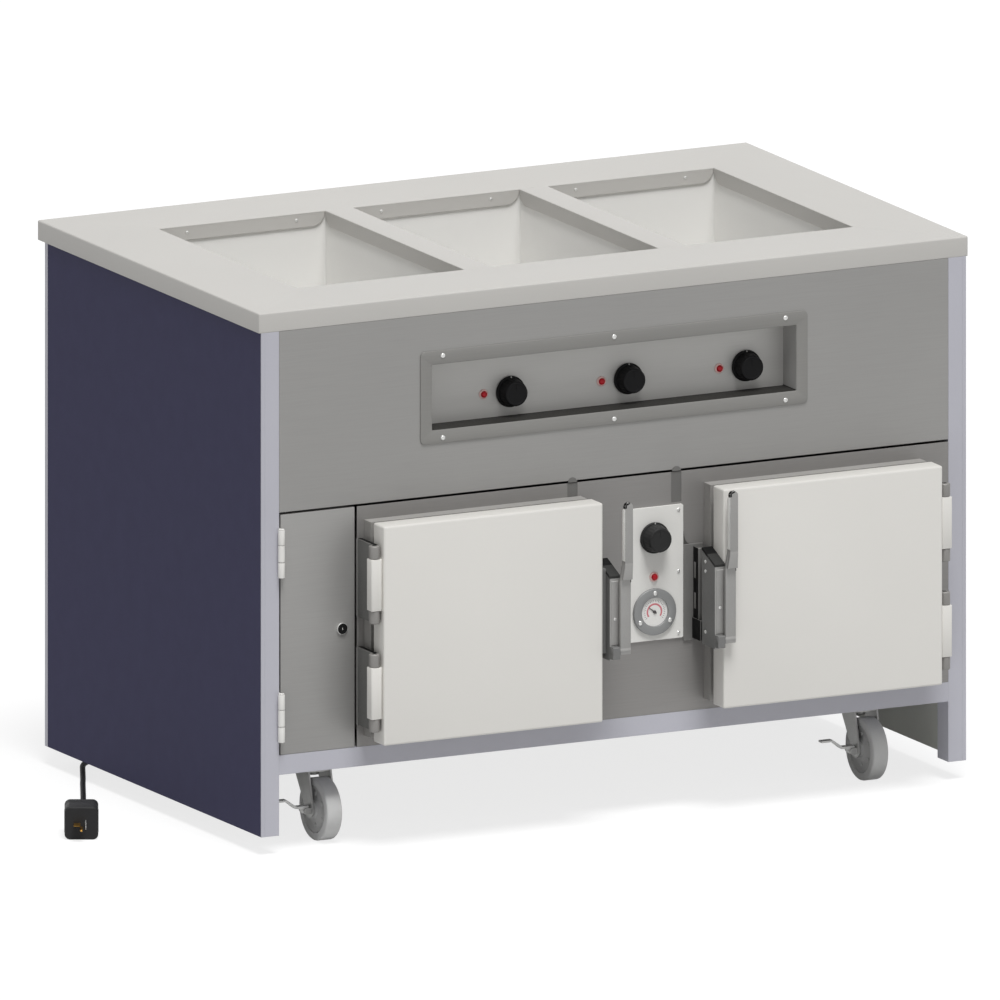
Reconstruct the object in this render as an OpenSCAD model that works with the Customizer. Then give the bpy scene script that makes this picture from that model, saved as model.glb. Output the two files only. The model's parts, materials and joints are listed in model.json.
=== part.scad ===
// Mobile hot food counter: three heated wells over two insulated holding cabinets, on four swivel casters.
// Millimetres, +Z up, +X to the right as seen from the operator's side, +Y away from the operator.
// The origin is on the floor, under the middle of the counter without its cord.
// Sizes along Y in the modules are measured back from the front plane of the body.

/* [Body] */
// Width of the body over the side panels
body_w = 1262; // [1240:1:1400]
// Depth of the body from its front plane to the back panel's face
body_d = 762; // [740:1:860]
// Height of the side and back panels
panel_h = 824; // [800:1:900]
// Clear height of the side panels over the floor
panel_clear = 31; // [20:1:40]
// Thickness of the side and back laminate panels
laminate_t = 6.4; // [4:0.1:10]
// Width of a corner post across the front
post_w = 25.4; // [22:0.1:30]
// Depth of a corner post
post_d = 38; // [32:1:50]
// Wall of the posts and base tubes
tube_wall = 2; // [1.5:0.1:3]
// Size of the square base rails
rail_size = 31.8; // [28:0.1:40]
// Leg length of the angles that carry the top
angle_leg = 25; // [20:1:30]
// Thickness of those angles
angle_t = 3; // [2:0.5:4]
// Width of the light trim along the rear edge of a side panel
trim_leg = 10; // [8:1:14]
// Width of that trim on the back panel
trim_back_leg = 25; // [20:1:30]
// Thickness of the front sheets
sheet_t = 1.5; // [1:0.1:2]
// Thickness of the base pan
pan_t = 1.5; // [1:0.1:2]

/* [Worktop] */
// Height of the worktop's outer skirt
top_t = 32; // [28:1:40]
// Sheet thickness of the worktop
top_sheet = 2; // [1.5:0.1:3]
// Overhang of the worktop past each side panel
top_over_side = 4; // [3:0.5:8]
// Overhang of the worktop past the back panel
top_over_back = 19; // [10:1:30]

/* [Wells] */
// Width of a well opening
well_w = 298; // [280:1:304]
// Depth of a well opening from front to back
well_d = 490; // [460:1:510]
// Distance between neighbouring well centres
well_pitch = 348; // [344:1:356]
// Shift of the middle well from the middle of the body
well_shift = 5.5; // [0:0.5:8]
// Distance from the front plane to the well openings
well_front = 146; // [140:1:160]
// Height of the turned down rim round a well
well_rim_h = 24; // [20:1:28]
// Depth of a well below its rim
well_depth = 165; // [140:1:170]
// Sheet thickness of the well liners
liner_t = 1.5; // [1:0.1:2]
// Distance by which a liner's flange reaches under the worktop past the opening
flange_lap = 10; // [8:0.5:12]
// Depth of the housing below a liner's floor
housing_drop = 52; // [45:1:60]
// Bore of the well drains
drain_bore = 24; // [18:1:28]
// Wall of the drain pipes
drain_wall = 2; // [1.5:0.1:3]
// Height of the drain manifold's axis over the floor
manifold_z = 596; // [590:1:610]
// Distance from the front plane to the drain valve's axis
valve_y = 150; // [120:1:200]
// Height of the drain valve's axis over the floor
valve_z = 420; // [380:1:460]
// Reach of the drain valve's lever
lever_reach = 62; // [50:1:66]

/* [Controls] */
// Width of the control box's bezel
bezel_w = 693; // [680:1:720]
// Height of the control box's bezel
bezel_h = 152; // [146:1:160]
// Thickness of the control box's bezel
bezel_t = 2; // [1:0.1:3]
// Corner radius of the bezel
bezel_r = 8; // [5:1:20]
// Width of the recess in the control box
recess_w = 652; // [640:1:660]
// Height of the recess in the control box
recess_h = 107; // [100:1:112]
// Depth of the recess in the control box
recess_depth = 44; // [38:1:48]
// Height of the bezel's middle below the worktop's underside
bezel_drop = 135.5; // [130:0.5:142]
// Distance between neighbouring wells' controls
control_pitch = 211; // [205:1:216]
// Distance from a pilot lamp to the knob beside it
lamp_to_knob = 47.5; // [42:0.5:54]
// Knob skirt diameter
knob_d = 51; // [46:1:54]
// Height of a knob from its panel to its face
knob_h = 25; // [20:1:28]
// Diameter of the knob shafts
shaft_d = 6; // [5:0.5:8]
// Diameter of a pilot lamp's bezel
lamp_d = 13; // [11:0.5:15]
// Height of the control plate's middle over the cabinet sill
plate_rise = 230.8; // [225:0.1:236]
// Width of the control plate between the doors
plate_w = 105; // [100:1:110]
// Height of the control plate
plate_h = 218; // [214:1:222]
// Thickness of the control plate
plate_t = 3; // [2:0.5:4]
// Distance from the control plate's middle to the right door's edge
plate_to_door = 88.5; // [88:0.5:94]
// Outer diameter of the thermometer's ring
gauge_d = 76; // [72:1:80]
// Diameter of the thermometer's dial
gauge_dial_d = 47; // [42:1:52]

/* [Cabinets] */
// Height from the base rail to the seam under the upper panel
lower_h = 393; // [390:1:396]
// Width of the seams between the front sheets
seam = 4; // [3:0.5:5]
// Width of the narrow service door
access_w = 132.8; // [130:0.1:134]
// Clear width between the two cabinet doors
door_gap = 216.1; // [216:0.1:224]
// Height of a cabinet door
door_h = 358; // [350:1:362]
// Thickness of a cabinet door
door_t = 37; // [34:1:40]
// Corner radius of a cabinet door
door_r = 3; // [2:1:16]
// Height of a cabinet door over the sill of the front sheets
door_rise = 15; // [12:1:17]
// Depth of the cabinet collar in front of the front plane
collar_d = 23; // [20:1:28]
// Thickness of the door gasket
gasket_d = 15; // [12:1:18]
// Width of the door gasket's face
gasket_w = 12; // [10:1:16]
// Distance by which the collar lies inside the door's edge
collar_inset = 2.5; // [2:0.5:5]
// Wall of a cabinet between its casing and its liner
cabinet_wall = 30; // [26:1:32]
// Depth of a cabinet behind the front plane
cabinet_d = 700; // [680:1:715]
// Sheet thickness of the cabinet casings
casing_t = 1.2; // [1:0.1:1.5]
// Width of the pan slides' ledges
slide_w = 12; // [8:1:14]
// Distance between neighbouring pan slides
slide_pitch = 85; // [75:1:90]
// Number of pan slide levels in a cabinet
slide_levels = 3; // [2:1:3]

/* [Hinges and latches] */
// Diameter of a cabinet hinge's barrel
hinge_d = 18; // [16:0.5:20]
// Height of a cabinet hinge over all
hinge_h = 127; // [120:1:132]
// Height of a cabinet hinge's moving barrel
hinge_cover_h = 84; // [80:0.5:88]
// Distance between the middles of a door's two hinges
hinge_spacing = 177; // [170:1:184]
// Distance from a hinge's axis to the door's edge
hinge_to_door = 10.5; // [10:0.5:12]
// Distance from the right post to the right door's hinge axis
right_margin = 37.7; // [37:0.1:44]
// Distance of the hinges' middle below the door's middle
hinge_drop = 5; // [0:1:8]
// Distance from a hinge's axis to the front plane
hinge_reach = 61; // [58:1:64]
// Diameter of the cabinet hinge pins
pin_d = 8; // [6:0.5:9]
// Running clearance round pins and shafts
run_gap = 0.05; // [0.02:0.01:0.08]
// Clearance between pieces that lie beside each other
seat_gap = 0.3; // [0.2:0.05:0.4]
// Width of the cabinet latch's body
latch_w = 18; // [16:1:18]
// Height of the cabinet latch's body
latch_h = 158; // [150:1:164]
// Depth of the cabinet latch's body
latch_d = 46; // [42:1:48]
// Distance from the front plane to the back of the latch's body
latch_back = 33; // [32:1:36]
// Width of the spacer between the left door and its latch
latch_spacer = 10; // [8:1:12]
// Width of a latch handle's grip
grip_w = 14; // [12:1:15]
// Thickness of a latch handle
grip_t = 6; // [5:0.5:7]
// Height of a latch handle
grip_h = 252; // [244:1:256]
// Distance from the front plane to the grip's face
grip_reach = 96; // [94:1:100]
// Diameter of a service door hinge's barrel
barrel_d = 11; // [10:0.5:12]
// Height of a service door hinge
barrel_h = 80; // [74:1:84]
// Distance between the middles of the service door's hinges
barrel_spacing = 269; // [260:1:276]
// Diameter of the service door's lock
lock_d = 19; // [16:1:22]
// Distance from the lock to the service door's free edge
lock_in = 23; // [20:1:26]

/* [Casters] */
// Overall height of a caster
caster_h = 130; // [126:1:136]
// Diameter of a caster wheel
wheel_d = 101.6; // [96:0.1:104]
// Width of a caster wheel
wheel_w = 32; // [28:1:34]
// Distance from a caster's swivel axis to its axle
caster_trail = 28; // [24:1:32]
// Distance from a side panel's face to the swivel axes
caster_inset = 142; // [138:1:150]
// Distance from the front plane to the front swivel axes
caster_front_y = 98; // [95:1:104]
// Distance from the back panel's face to the rear swivel axes
caster_back = 117; // [112:1:122]
// Width of a caster's plate
caster_plate_w = 95; // [90:1:98]
// Depth of a caster's plate
caster_plate_d = 64; // [60:1:70]
// Thickness of a caster's plate
caster_plate_t = 4; // [3:0.5:5]
// Diameter of the axles
axle_d = 10; // [8:1:12]
// Diameter of the kingpins
kingpin_d = 12; // [10:1:14]
// Thickness of the fork's sheet
fork_t = 3; // [2.5:0.5:4]

/* [Power cord] */
// Diameter of the cord
cord_d = 9; // [9:0.5:9.5]
// Radius of the coil's innermost turn
coil_inner_r = 42.4; // [42:0.1:44]
// Width and height of the plug
plug_w = 54; // [50:1:56]
// Length of the plug's body
plug_l = 62; // [56:1:68]

/* [Hidden] */
$fn = 48;

steel = [0.58, 0.58, 0.57];
steel_dark = [0.52, 0.51, 0.50];
pale = [0.83, 0.82, 0.80];
navy = [0.20, 0.20, 0.30];
lavender = [0.70, 0.70, 0.74];
black = [0.07, 0.07, 0.07];
tiny = 0.01;

// Heights over the floor
base_z = caster_h;
sill_z = base_z + rail_size;
split_z = sill_z + lower_h;
under_top_z = panel_clear + panel_h;
total_h = under_top_z + top_t;
rim_z = total_h - well_rim_h;
rim_corner_r = well_rim_h - top_sheet;
liner_floor_z = rim_z - well_depth;
liner_top_z = total_h - top_sheet - seat_gap;
liner_margin = top_sheet + seat_gap;
housing_z = liner_floor_z - housing_drop;
bezel_z = under_top_z - bezel_drop;
door_z = sill_z + door_rise;
door_mid_z = door_z + door_h / 2;
plate_z = sill_z + plate_rise;
hinge_mid_z = door_mid_z - hinge_drop;

// Places across the width and the depth
in_x = body_w / 2 - laminate_t - post_w;
back_y = body_d - laminate_t;
top_w = body_w + 2 * top_over_side;
top_d = body_d + top_over_back;
front_y = -(top_d - grip_reach) / 2;
well_y = well_front + well_d / 2;
well_x = [for (i = [-1:1]) well_shift + i * well_pitch];
return_d = 18;
angle_y = return_d + 4;

// The service door's edges, its hinge axis, and the axes and left edges of the two cabinet doors
leaf_t = 1.2;
leaf_gap = 0.4;
access_x = -in_x + 2 * leaf_t + leaf_gap;
access_axis_x = -in_x + leaf_t + leaf_gap / 2;
access_axis_y = -(barrel_d / 2 + seat_gap);
access_end_x = access_x + access_w;
access_mid_z = (sill_z + split_z) / 2;
facia_x = access_end_x + seam;
axis_x = [facia_x, in_x - right_margin];
door_w = (axis_x[1] - axis_x[0] - 2 * hinge_to_door - door_gap) / 2;
door_x = [axis_x[0] + hinge_to_door, axis_x[1] - hinge_to_door - door_w];
door_front = collar_d + gasket_d + door_t;
door_back = collar_d + gasket_d;
knuckle_h = (hinge_h - hinge_cover_h) / 2 - seat_gap;
hinge_z = [hinge_mid_z - hinge_spacing / 2, hinge_mid_z + hinge_spacing / 2];

// The casing of a cabinet lies twice the collar's inset inside its door, and the liner a wall further in
casing_in = 2 * collar_inset;
liner_in = casing_in + cabinet_wall;
slide_z = [for (i = [0:slide_levels - 1]) door_z + liner_in + 40 + i * slide_pitch];

// The latches' bodies: on the left door a spacer apart, on the right door against its edge
latch_x = [door_x[0] + door_w + latch_spacer, door_x[1] - latch_w];
latch_mid_z = door_mid_z;
latch_z = latch_mid_z - latch_h / 2;
latch_front = latch_back + latch_d;
grip_pivot_y = latch_front + 6;
grip_pivot_z = latch_z + 17;
grip_plate_w = 19;
grip_plate_x = 13;
grip_x = 19;
plate_x = door_x[1] - plate_to_door;

// The controls on the recess's back and on the plate between the doors: [x, z] of each knob and lamp
lamp_x = [for (i = [-1:1]) i * control_pitch];
control_z = bezel_z - 14.5;
well_knobs = [for (x = lamp_x) [x + lamp_to_knob, control_z]];
recess_lamps = [for (x = lamp_x) [x, control_z]];
plate_knob = [plate_x, plate_z + 59];
plate_lamp = [plate_x, plate_z - 5];
gauge = [plate_x, plate_z - 62];
lamp_hole_r = lamp_d / 2 - 1.5;
knob_gap = 0.8;
switch_d = 34;
bezel_screws = [for (x = [-1:1], z = [-1, 1]) [x * (bezel_w / 2 - 39.8), bezel_z + z * (bezel_h / 2 - 8.8)]];
screw_r = 1.5;
screw_in = 8.5;
plate_screws = [
    for (x = [-1, 1], z = [-1:1])
        [plate_x + x * (plate_w / 2 - screw_in), plate_z + z * (plate_h / 2 - screw_in)]
];
gauge_screw_r = (gauge_d + gauge_dial_d) / 4;
gauge_screws = [for (a = [90, 210, 330]) gauge + gauge_screw_r * [cos(a), sin(a)]];

// The casters: [x, y of the swivel axis], and each wheel's axle ahead of it
caster_x = body_w / 2 - caster_inset;
caster_at = [for (y = [caster_front_y, body_d - caster_back], x = [-caster_x, caster_x]) [x, y]];
channel_w = caster_plate_w + 5;
channel_t = 4;
axle_z = wheel_d / 2;
crown_drop = 20;
crown_z = base_z - crown_drop;
fork_in = wheel_w / 2 + 2;
bolt_r = 4;
bolt_in = 11;
bolt_end = 10;
bolt_nut = [3, 6];
bolt_span = [caster_plate_w - 2 * bolt_in, caster_plate_d - 2 * bolt_in];
brake_axis = [-28, -25, axle_z - 1];

// The drain: the manifold's pipes and its valve in the service compartment
drain_r = drain_bore / 2;
pipe_r = drain_r + drain_wall;
valve_x = -in_x + 54;
valve_body_r = pipe_r + 8;
outlet_z = valve_z - 90;
stem_r = 5;
stem_reach = 40;

// Small hardware
front_trim_t = 2;
core_gap = 2;
housing_t = 1.2;
housing_lip = 11;
heater_front = 70;
heater_back = 40;
heater_r = 4;
drain_flange_t = 3;
valve_h = 70;
lever_t = 3;
lever_w = 14;
switch_w = 45;
screw_head_t = 1.6;
shaft_grip = 18;
gauge_t = 5;
plate_hole = [switch_w + 27, plate_h - 42];
notch_w = 18;
notch_backing = 6;
left_notch = [door_x[0] + door_w - 16.9, split_z - (door_z + door_h - casing_in + seat_gap), 0];
right_notch = [plate_x + 41.5, 50, notch_backing];
notches = [left_notch, right_notch];
foot_in = 40;
foot_r = 15;
slide_t = 1.5;
slide_rise = 20;
arm_t = 8;
arm_foot_t = 3;
hinge_leaf_t = 12;
cover_w = hinge_d + 1;
cover_r = 3;
cover_sweep = (cover_w / 2 - cover_r) * sqrt(2) + cover_r;
leaf_d = 17;
barrel_pin_d = 5;
gasket_inset = 8;
strike_out = 10;
strike_w = 14;
strike_gap = 0.5;
lock_head_t = 3;
lock_barrel_r = 7;
cam_w = 12;
cam_t = 2.5;
cam_reach = 34;
box_w = 90;
box_d = 60;
box_h = 90;
box_y = 320;
latch_slope = 20;
grip_pin_r = 2.5;
grip_plate_h = 129;
grip_neck_h = 20;
race_r = 27;
race_h = 9;
race_z = base_z - caster_plate_t - race_h;
kingpin_nut = [4, 8];
leg_front = 24;
leg_back = 20;
axle_eye_r = 13;
hub_r = 14;
rim_r = 37;
brake_w = 12;
lug_t = 3;
lug_r = 5;
brake_pin_r = 2;
gland_r = 8;
gland_nut_h = 7;
relief_taper_l = 28;
blade_l = 22;
blade_w = 11;
blade_t = 1.6;
blade_pitch = 14;

// The cord: it drops from the strain relief, winds into the coil, and leaves it for the plug.
// Points of the free runs are [x, y from the front plane, z].
cord_r = cord_d / 2;
coil_pitch = cord_d + 0.8;
coil_rise = cord_d + 0.6;
coil_turns = 3.25;
coil_middle = 1.75;
coil_x = -270;
coil_y = 683;
coil_steps = 24;
coil_start_r = coil_inner_r + coil_pitch * coil_middle;
coil_end_r = coil_inner_r + coil_pitch * (coil_turns - coil_middle);
coil_c = [coil_x - coil_start_r, coil_y];
relief = [coil_x, 535, 112];
plug_back = [-800, 301, plug_w / 2];
plug_turn = 243;
neck_l = 8;
run_in = [
    relief, [-270, 535, 92], [-270, 535, 72], [-270, 535.5, 52], [-270, 538.5, 34], [-270, 546, 20],
    [-270, 558, 10.5], [-270, 574, 5.5], [-270, 594, 4.5], [-270, 614, 5], [-270, 633, 7.5],
    [-270, 653, 11.5], [-270, coil_y - cord_d, cord_r + coil_rise]
];
run_out = [
    [coil_c[0] - cord_d, coil_y + coil_end_r, cord_r], [-360, 740, 4.5], [-385, 740.5, 4.5], [-410, 741, 4.5],
    [-435, 741.5, 4.5], [-460, 742, 4.5], [-485, 742, 4.5], [-511, 742, 4.5], [-537, 742, 4.5],
    [-558, 738, 4.5], [-576, 726.5, 4.5], [-590, 709, 4.5], [-601, 688, 4.5], [-612, 666, 4.5],
    [-624, 642, 4.5], [-636, 618, 4.5], [-648, 595, 4.5], [-660, 571, 4.5], [-672, 547, 4.5],
    [-684, 523, 4.5], [-696, 499, 4.5], [-708, 476, 4.5], [-720, 453, 4.5], [-732, 430, 4.5],
    [-744, 407, 4.5], [-756, 384, 5.5], [-768, 361, 9], [-780, 338.5, 16.5], [-790, 320, 23.5], plug_back
];

// A range mirrored to the left side for s = -1, and kept for s = 1
function side(s, a, b) = s > 0 ? [a, b] : [-b, -a];

// The range that reaches the same distance to both sides of a middle
function about(middle, reach) = [middle - reach, middle + reach];

// A range made longer by the same amount at both ends
function grown(range, by) = [range[0] - by, range[1] + by];

// A box between ranges of x, y and z, with y measured back from the front plane
module block(x, y, z) {
    translate([x[0], front_y + y[0], z[0]])
        cube([x[1] - x[0], y[1] - y[0], z[1] - z[0]]);
}

// Moves a piece to a point whose y is measured back from the front plane
module at(p) {
    translate([p[0], front_y + p[1], p[2]])
        children();
}

// Round bars along X, Y and Z
module bar_x(x, y, z, r) {
    at([x[0], y, z])
        rotate([0, 90, 0])
            cylinder(h = x[1] - x[0], r = r);
}

module bar_y(x, y, z, r) {
    at([x, y[0], z])
        rotate([-90, 0, 0])
            cylinder(h = y[1] - y[0], r = r);
}

module bar_z(x, y, z, r) {
    at([x, y, z[0]])
        cylinder(h = z[1] - z[0], r = r);
}

// A rectangle with round corners about the origin
module round_rect(w, h, r) {
    square([w - 2 * r, h], center = true);
    square([w, h - 2 * r], center = true);
    for (x = [-1, 1], y = [-1, 1])
        translate([x * (w / 2 - r), y * (h / 2 - r)])
            circle(r);
}

// Extrudes a drawing of X and Z over a range of y
module front_slab(y) {
    translate([0, front_y + y[1], 0])
        rotate([90, 0, 0])
            linear_extrude(y[1] - y[0])
                children();
}

// Extrudes a drawing of Y and Z over a range of x
module side_slab(x) {
    translate([x[0], front_y, 0])
        rotate([90, 0, 90])
            linear_extrude(x[1] - x[0])
                children();
}

// A box open at both ends of its length along X or Y
module tube_x(x, y, z) {
    difference() {
        block(x, y, z);
        block(grown(x, 1), grown(y, -tube_wall), grown(z, -tube_wall));
    }
}

module tube_y(x, y, z) {
    difference() {
        block(x, y, z);
        block(grown(x, -tube_wall), grown(y, 1), grown(z, -tube_wall));
    }
}

module base_frame() {
    z = [base_z, sill_z];
    inner_y = [rail_size + seat_gap, back_y - rail_size - seat_gap];
    color(lavender) {
        tube_x([-in_x, in_x], [0, rail_size], z);
        tube_x([-in_x, in_x], [back_y - rail_size, back_y], z);
        for (s = [-1, 1]) {
            tube_y(side(s, in_x - rail_size, in_x), inner_y, z);
            difference() {
                block(about(s * caster_x, channel_w / 2), inner_y, z);
                block(
                    about(s * caster_x, channel_w / 2 - channel_t), grown(inner_y, 1),
                    [base_z + channel_t, sill_z + 1]
                );
                for (c = caster_at, i = [-1, 1], j = [-1, 1])
                    bar_z(
                        c[0] + i * bolt_span[0] / 2, c[1] + j * bolt_span[1] / 2,
                        [base_z - 1, base_z + channel_t + 1], bolt_r + seat_gap
                    );
            }
        }
    }
}

module base_pan() {
    color(steel_dark)
        difference() {
            block(
                about(0, in_x - seat_gap), [return_d + seat_gap, back_y - seat_gap],
                [sill_z, sill_z + pan_t]
            );
            bar_z(relief[0], relief[1], [sill_z - 1, sill_z + pan_t + 1], gland_r + seat_gap);
        }
}

module body_frame() {
    angle_z = [under_top_z - angle_leg, under_top_z];
    flat_z = [under_top_z - angle_t, under_top_z];
    across = about(0, in_x - seat_gap);
    along = [post_d + seat_gap, back_y - post_d - seat_gap];
    out_x = in_x + post_w;
    color(lavender) {
        for (s = [-1, 1], y = [0, back_y - post_d])
            difference() {
                block(side(s, in_x, out_x), [y, y + post_d], [panel_clear, under_top_z]);
                block(
                    side(s, in_x + tube_wall, out_x - tube_wall), [y + tube_wall, y + post_d - tube_wall],
                    [panel_clear + tube_wall, under_top_z + 1]
                );
            }
        block(across, [angle_y, angle_y + angle_leg], flat_z);
        block(across, [angle_y, angle_y + angle_t], angle_z);
        block(across, [back_y - angle_leg, back_y], flat_z);
        block(across, [back_y - angle_t, back_y], angle_z);
        for (s = [-1, 1]) {
            block(side(s, out_x - angle_leg, out_x), along, flat_z);
            block(side(s, out_x - angle_t, out_x), along, angle_z);
        }
    }
}

module side_panel(s) {
    color(navy)
        block(
            side(s, in_x + post_w, body_w / 2), [front_trim_t, body_d - trim_leg],
            [panel_clear, under_top_z]
        );
}

module left_side_panel() {
    side_panel(-1);
}

module right_side_panel() {
    side_panel(1);
}

module back_panel() {
    half = body_w / 2 - trim_back_leg;
    color(navy)
        block(about(0, half), [back_y, body_d], [panel_clear, under_top_z]);
}

module edge_trims() {
    z = [panel_clear, under_top_z];
    color(lavender)
        for (s = [-1, 1]) {
            block(side(s, in_x + post_w, body_w / 2), [0, front_trim_t], z);
            block(side(s, in_x + post_w, body_w / 2), [body_d - trim_leg, body_d], z);
            block(side(s, body_w / 2 - trim_back_leg, body_w / 2), [back_y, body_d], z);
        }
}

// One box per well, larger than its opening by a margin
module well_blocks(margin, z) {
    for (x = well_x)
        block(about(x, well_w / 2 + margin), about(well_y, well_d / 2 + margin), z);
}

module worktop() {
    color(pale) {
        difference() {
            block(about(0, top_w / 2), [0, top_d], [under_top_z, total_h]);
            block(
                about(0, top_w / 2 - top_sheet), [top_sheet, top_d - top_sheet],
                [under_top_z - 1, total_h - top_sheet]
            );
            well_blocks(0, [under_top_z, total_h + 1]);
        }
        for (x = well_x, s = [-1, 1]) {
            at([x, well_y + s * (well_d + top_sheet) / 2, rim_z])
                rotate([90, 0, 0])
                    rim_flange(well_w);
            at([x + s * (well_w + top_sheet) / 2, well_y, rim_z])
                rotate([90, 0, 90])
                    rim_flange(well_d);
        }
    }
}

// The turned down edge along one side of a well, its lower corners rounded
module rim_flange(l) {
    linear_extrude(top_sheet, center = true)
        intersection() {
            translate([-l / 2, 0])
                square([l, well_rim_h]);
            union() {
                translate([-l / 2, rim_corner_r])
                    square([l, well_rim_h]);
                translate([rim_corner_r - l / 2, 0])
                    square([l - 2 * rim_corner_r, well_rim_h]);
                for (s = [-1, 1])
                    translate([s * (l / 2 - rim_corner_r), rim_corner_r])
                        circle(rim_corner_r);
            }
        }
}

module worktop_core() {
    inset = top_sheet + seat_gap;
    color([0.72, 0.62, 0.45])
        difference() {
            block(about(0, top_w / 2 - inset), [inset, top_d - inset], [under_top_z, total_h - top_sheet]);
            well_blocks(flange_lap + core_gap, [under_top_z - 1, total_h]);
        }
}

module well_liner(x) {
    inner = [well_w / 2 + liner_margin, well_d / 2 + liner_margin];
    low = liner_floor_z - liner_t;
    color(pale)
        difference() {
            union() {
                block(
                    about(x, well_w / 2 + flange_lap), about(well_y, well_d / 2 + flange_lap),
                    [liner_top_z - liner_t, liner_top_z]
                );
                block(
                    about(x, inner[0] + liner_t), about(well_y, inner[1] + liner_t),
                    [low, liner_top_z - tiny]
                );
            }
            block(about(x, inner[0]), about(well_y, inner[1]), [liner_floor_z, liner_top_z + 1]);
            bar_z(x, well_y, [low - 1, liner_floor_z + 1], drain_r);
        }
}

module well_liner_left() {
    well_liner(well_x[0]);
}

module well_liner_centre() {
    well_liner(well_x[1]);
}

module well_liner_right() {
    well_liner(well_x[2]);
}

module well_housings() {
    color(steel_dark)
        difference() {
            union() {
                well_blocks(flange_lap - 1, [housing_z, rim_z]);
                well_blocks(flange_lap + core_gap + housing_lip, [under_top_z - housing_t, under_top_z]);
            }
            well_blocks(flange_lap - 1 - housing_t, [housing_z + housing_t, rim_z + 1]);
            for (x = well_x)
                bar_z(x, well_y, [housing_z - 1, housing_z + housing_t + 1], pipe_r + 2);
        }
}

// A tubular heater bent into a U round its middle, with a terminal block over its open end
module heater(x, y, z, half_w) {
    color(black) {
        for (s = [-1, 1])
            bar_y(x + s * half_w, [y[0] + half_w, y[1] - tiny], z, heater_r);
        at([x, y[0] + half_w, z])
            rotate([0, 0, 180])
                rotate_extrude(angle = 180)
                    translate([half_w, 0])
                        circle(heater_r);
        block(about(x, half_w + 10), [y[1] - 20, y[1]], [z - heater_r - 10, z + heater_r]);
    }
}

module heating_elements() {
    well_y_range = [well_front + heater_front, well_front + well_d - heater_back];
    for (x = well_x)
        heater(x, well_y_range, liner_floor_z - liner_t - heater_r - seat_gap, well_w / 4);
    for (x = door_x)
        heater(x + door_w / 2, [150, cabinet_d - 150], door_z + liner_in - heater_r - seat_gap, door_w / 4);
}

// The drain pipes' outline for one radius; the tails and the outlet end at the given heights
module drain_run(r, tail_z, low_z) {
    for (x = well_x)
        bar_z(x, well_y, [manifold_z, tail_z], r);
    bar_x([valve_x, well_x[2]], well_y, manifold_z, r);
    bar_y(valve_x, [valve_y, well_y], manifold_z, r);
    bar_z(valve_x, valve_y, [low_z, manifold_z], r);
    for (p = [[valve_x, valve_y], [valve_x, well_y], [well_x[2], well_y]])
        at([p[0], p[1], manifold_z])
            sphere(r);
}

module drain_manifold() {
    tail_z = liner_floor_z - liner_t;
    color(steel)
        difference() {
            union() {
                drain_run(pipe_r, tail_z, outlet_z);
                for (x = well_x)
                    bar_z(x, well_y, [tail_z - drain_flange_t, tail_z], pipe_r + 8);
                bar_z(valve_x, valve_y, [valve_z - valve_h / 2, valve_z + valve_h / 2], valve_body_r);
                bar_y(valve_x, [valve_y - stem_reach, valve_y - drain_r - 1], valve_z, stem_r);
            }
            drain_run(drain_r, tail_z + 1, outlet_z - 1);
        }
}

module drain_valve_lever() {
    y0 = valve_y - stem_reach + 2;
    tip_x = valve_x + lever_reach - lever_w / 2;
    color(navy)
        difference() {
            union() {
                bar_y(valve_x, [y0, y0 + lever_t + 4], valve_z, stem_r + 5);
                block([valve_x, tip_x], [y0, y0 + lever_t], about(valve_z, lever_w / 2));
                bar_y(tip_x, [y0, y0 + lever_t], valve_z, lever_w / 2);
            }
            bar_y(valve_x, [y0 - 1, y0 + lever_t + 5], valve_z, stem_r + run_gap);
        }
}

// A sheet with its four edges folded back
module tray(x, y, z) {
    difference() {
        block(x, y, z);
        block(grown(x, -sheet_t), [y[0] + sheet_t, y[1] + 1], grown(z, -sheet_t));
    }
}

// Screw holes along Y at a list of [x, z] places
module screw_holes(places, y) {
    for (p = places)
        bar_y(p[0], y, p[1], screw_r + 0.1);
}

module control_panel() {
    hole = sheet_t + seat_gap;
    color(steel)
        difference() {
            tray(about(0, in_x - seat_gap), [0, return_d], [split_z + seam, under_top_z - seat_gap]);
            block(about(0, recess_w / 2 + hole), [-1, sheet_t + 1], about(bezel_z, recess_h / 2 + hole));
            screw_holes(bezel_screws, [-1, sheet_t + 1]);
        }
}

module control_box() {
    color(steel)
        difference() {
            union() {
                front_slab([-bezel_t, 0])
                    translate([0, bezel_z])
                        round_rect(bezel_w, bezel_h, bezel_r);
                block(
                    about(0, recess_w / 2 + sheet_t), [-tiny, recess_depth + sheet_t],
                    about(bezel_z, recess_h / 2 + sheet_t)
                );
            }
            block(about(0, recess_w / 2), [-bezel_t - 1, recess_depth], about(bezel_z, recess_h / 2));
            for (k = well_knobs)
                bar_y(k[0], [recess_depth - 1, recess_depth + sheet_t + 1], k[1], shaft_d / 2 + 1);
            for (p = recess_lamps)
                bar_y(p[0], [recess_depth - 1, recess_depth + sheet_t + 1], p[1], lamp_hole_r);
            screw_holes(bezel_screws, [-bezel_t - 1, 1]);
        }
}

// A screw along Y whose head lies in front of y
module screw(p, y, l, head_r) {
    bar_y(p[0], [y - screw_head_t, y], p[1], head_r);
    bar_y(p[0], [y - tiny, y + l], p[1], screw_r);
}

module panel_screws() {
    color(pale) {
        for (p = bezel_screws)
            screw(p, -bezel_t, bezel_t + 8, 4);
        for (p = plate_screws)
            screw(p, -plate_t, plate_t + 8, 3);
        for (p = gauge_screws)
            screw(p, -gauge_t - plate_t, gauge_t + plate_t + 5, 2.5);
    }
}

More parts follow.
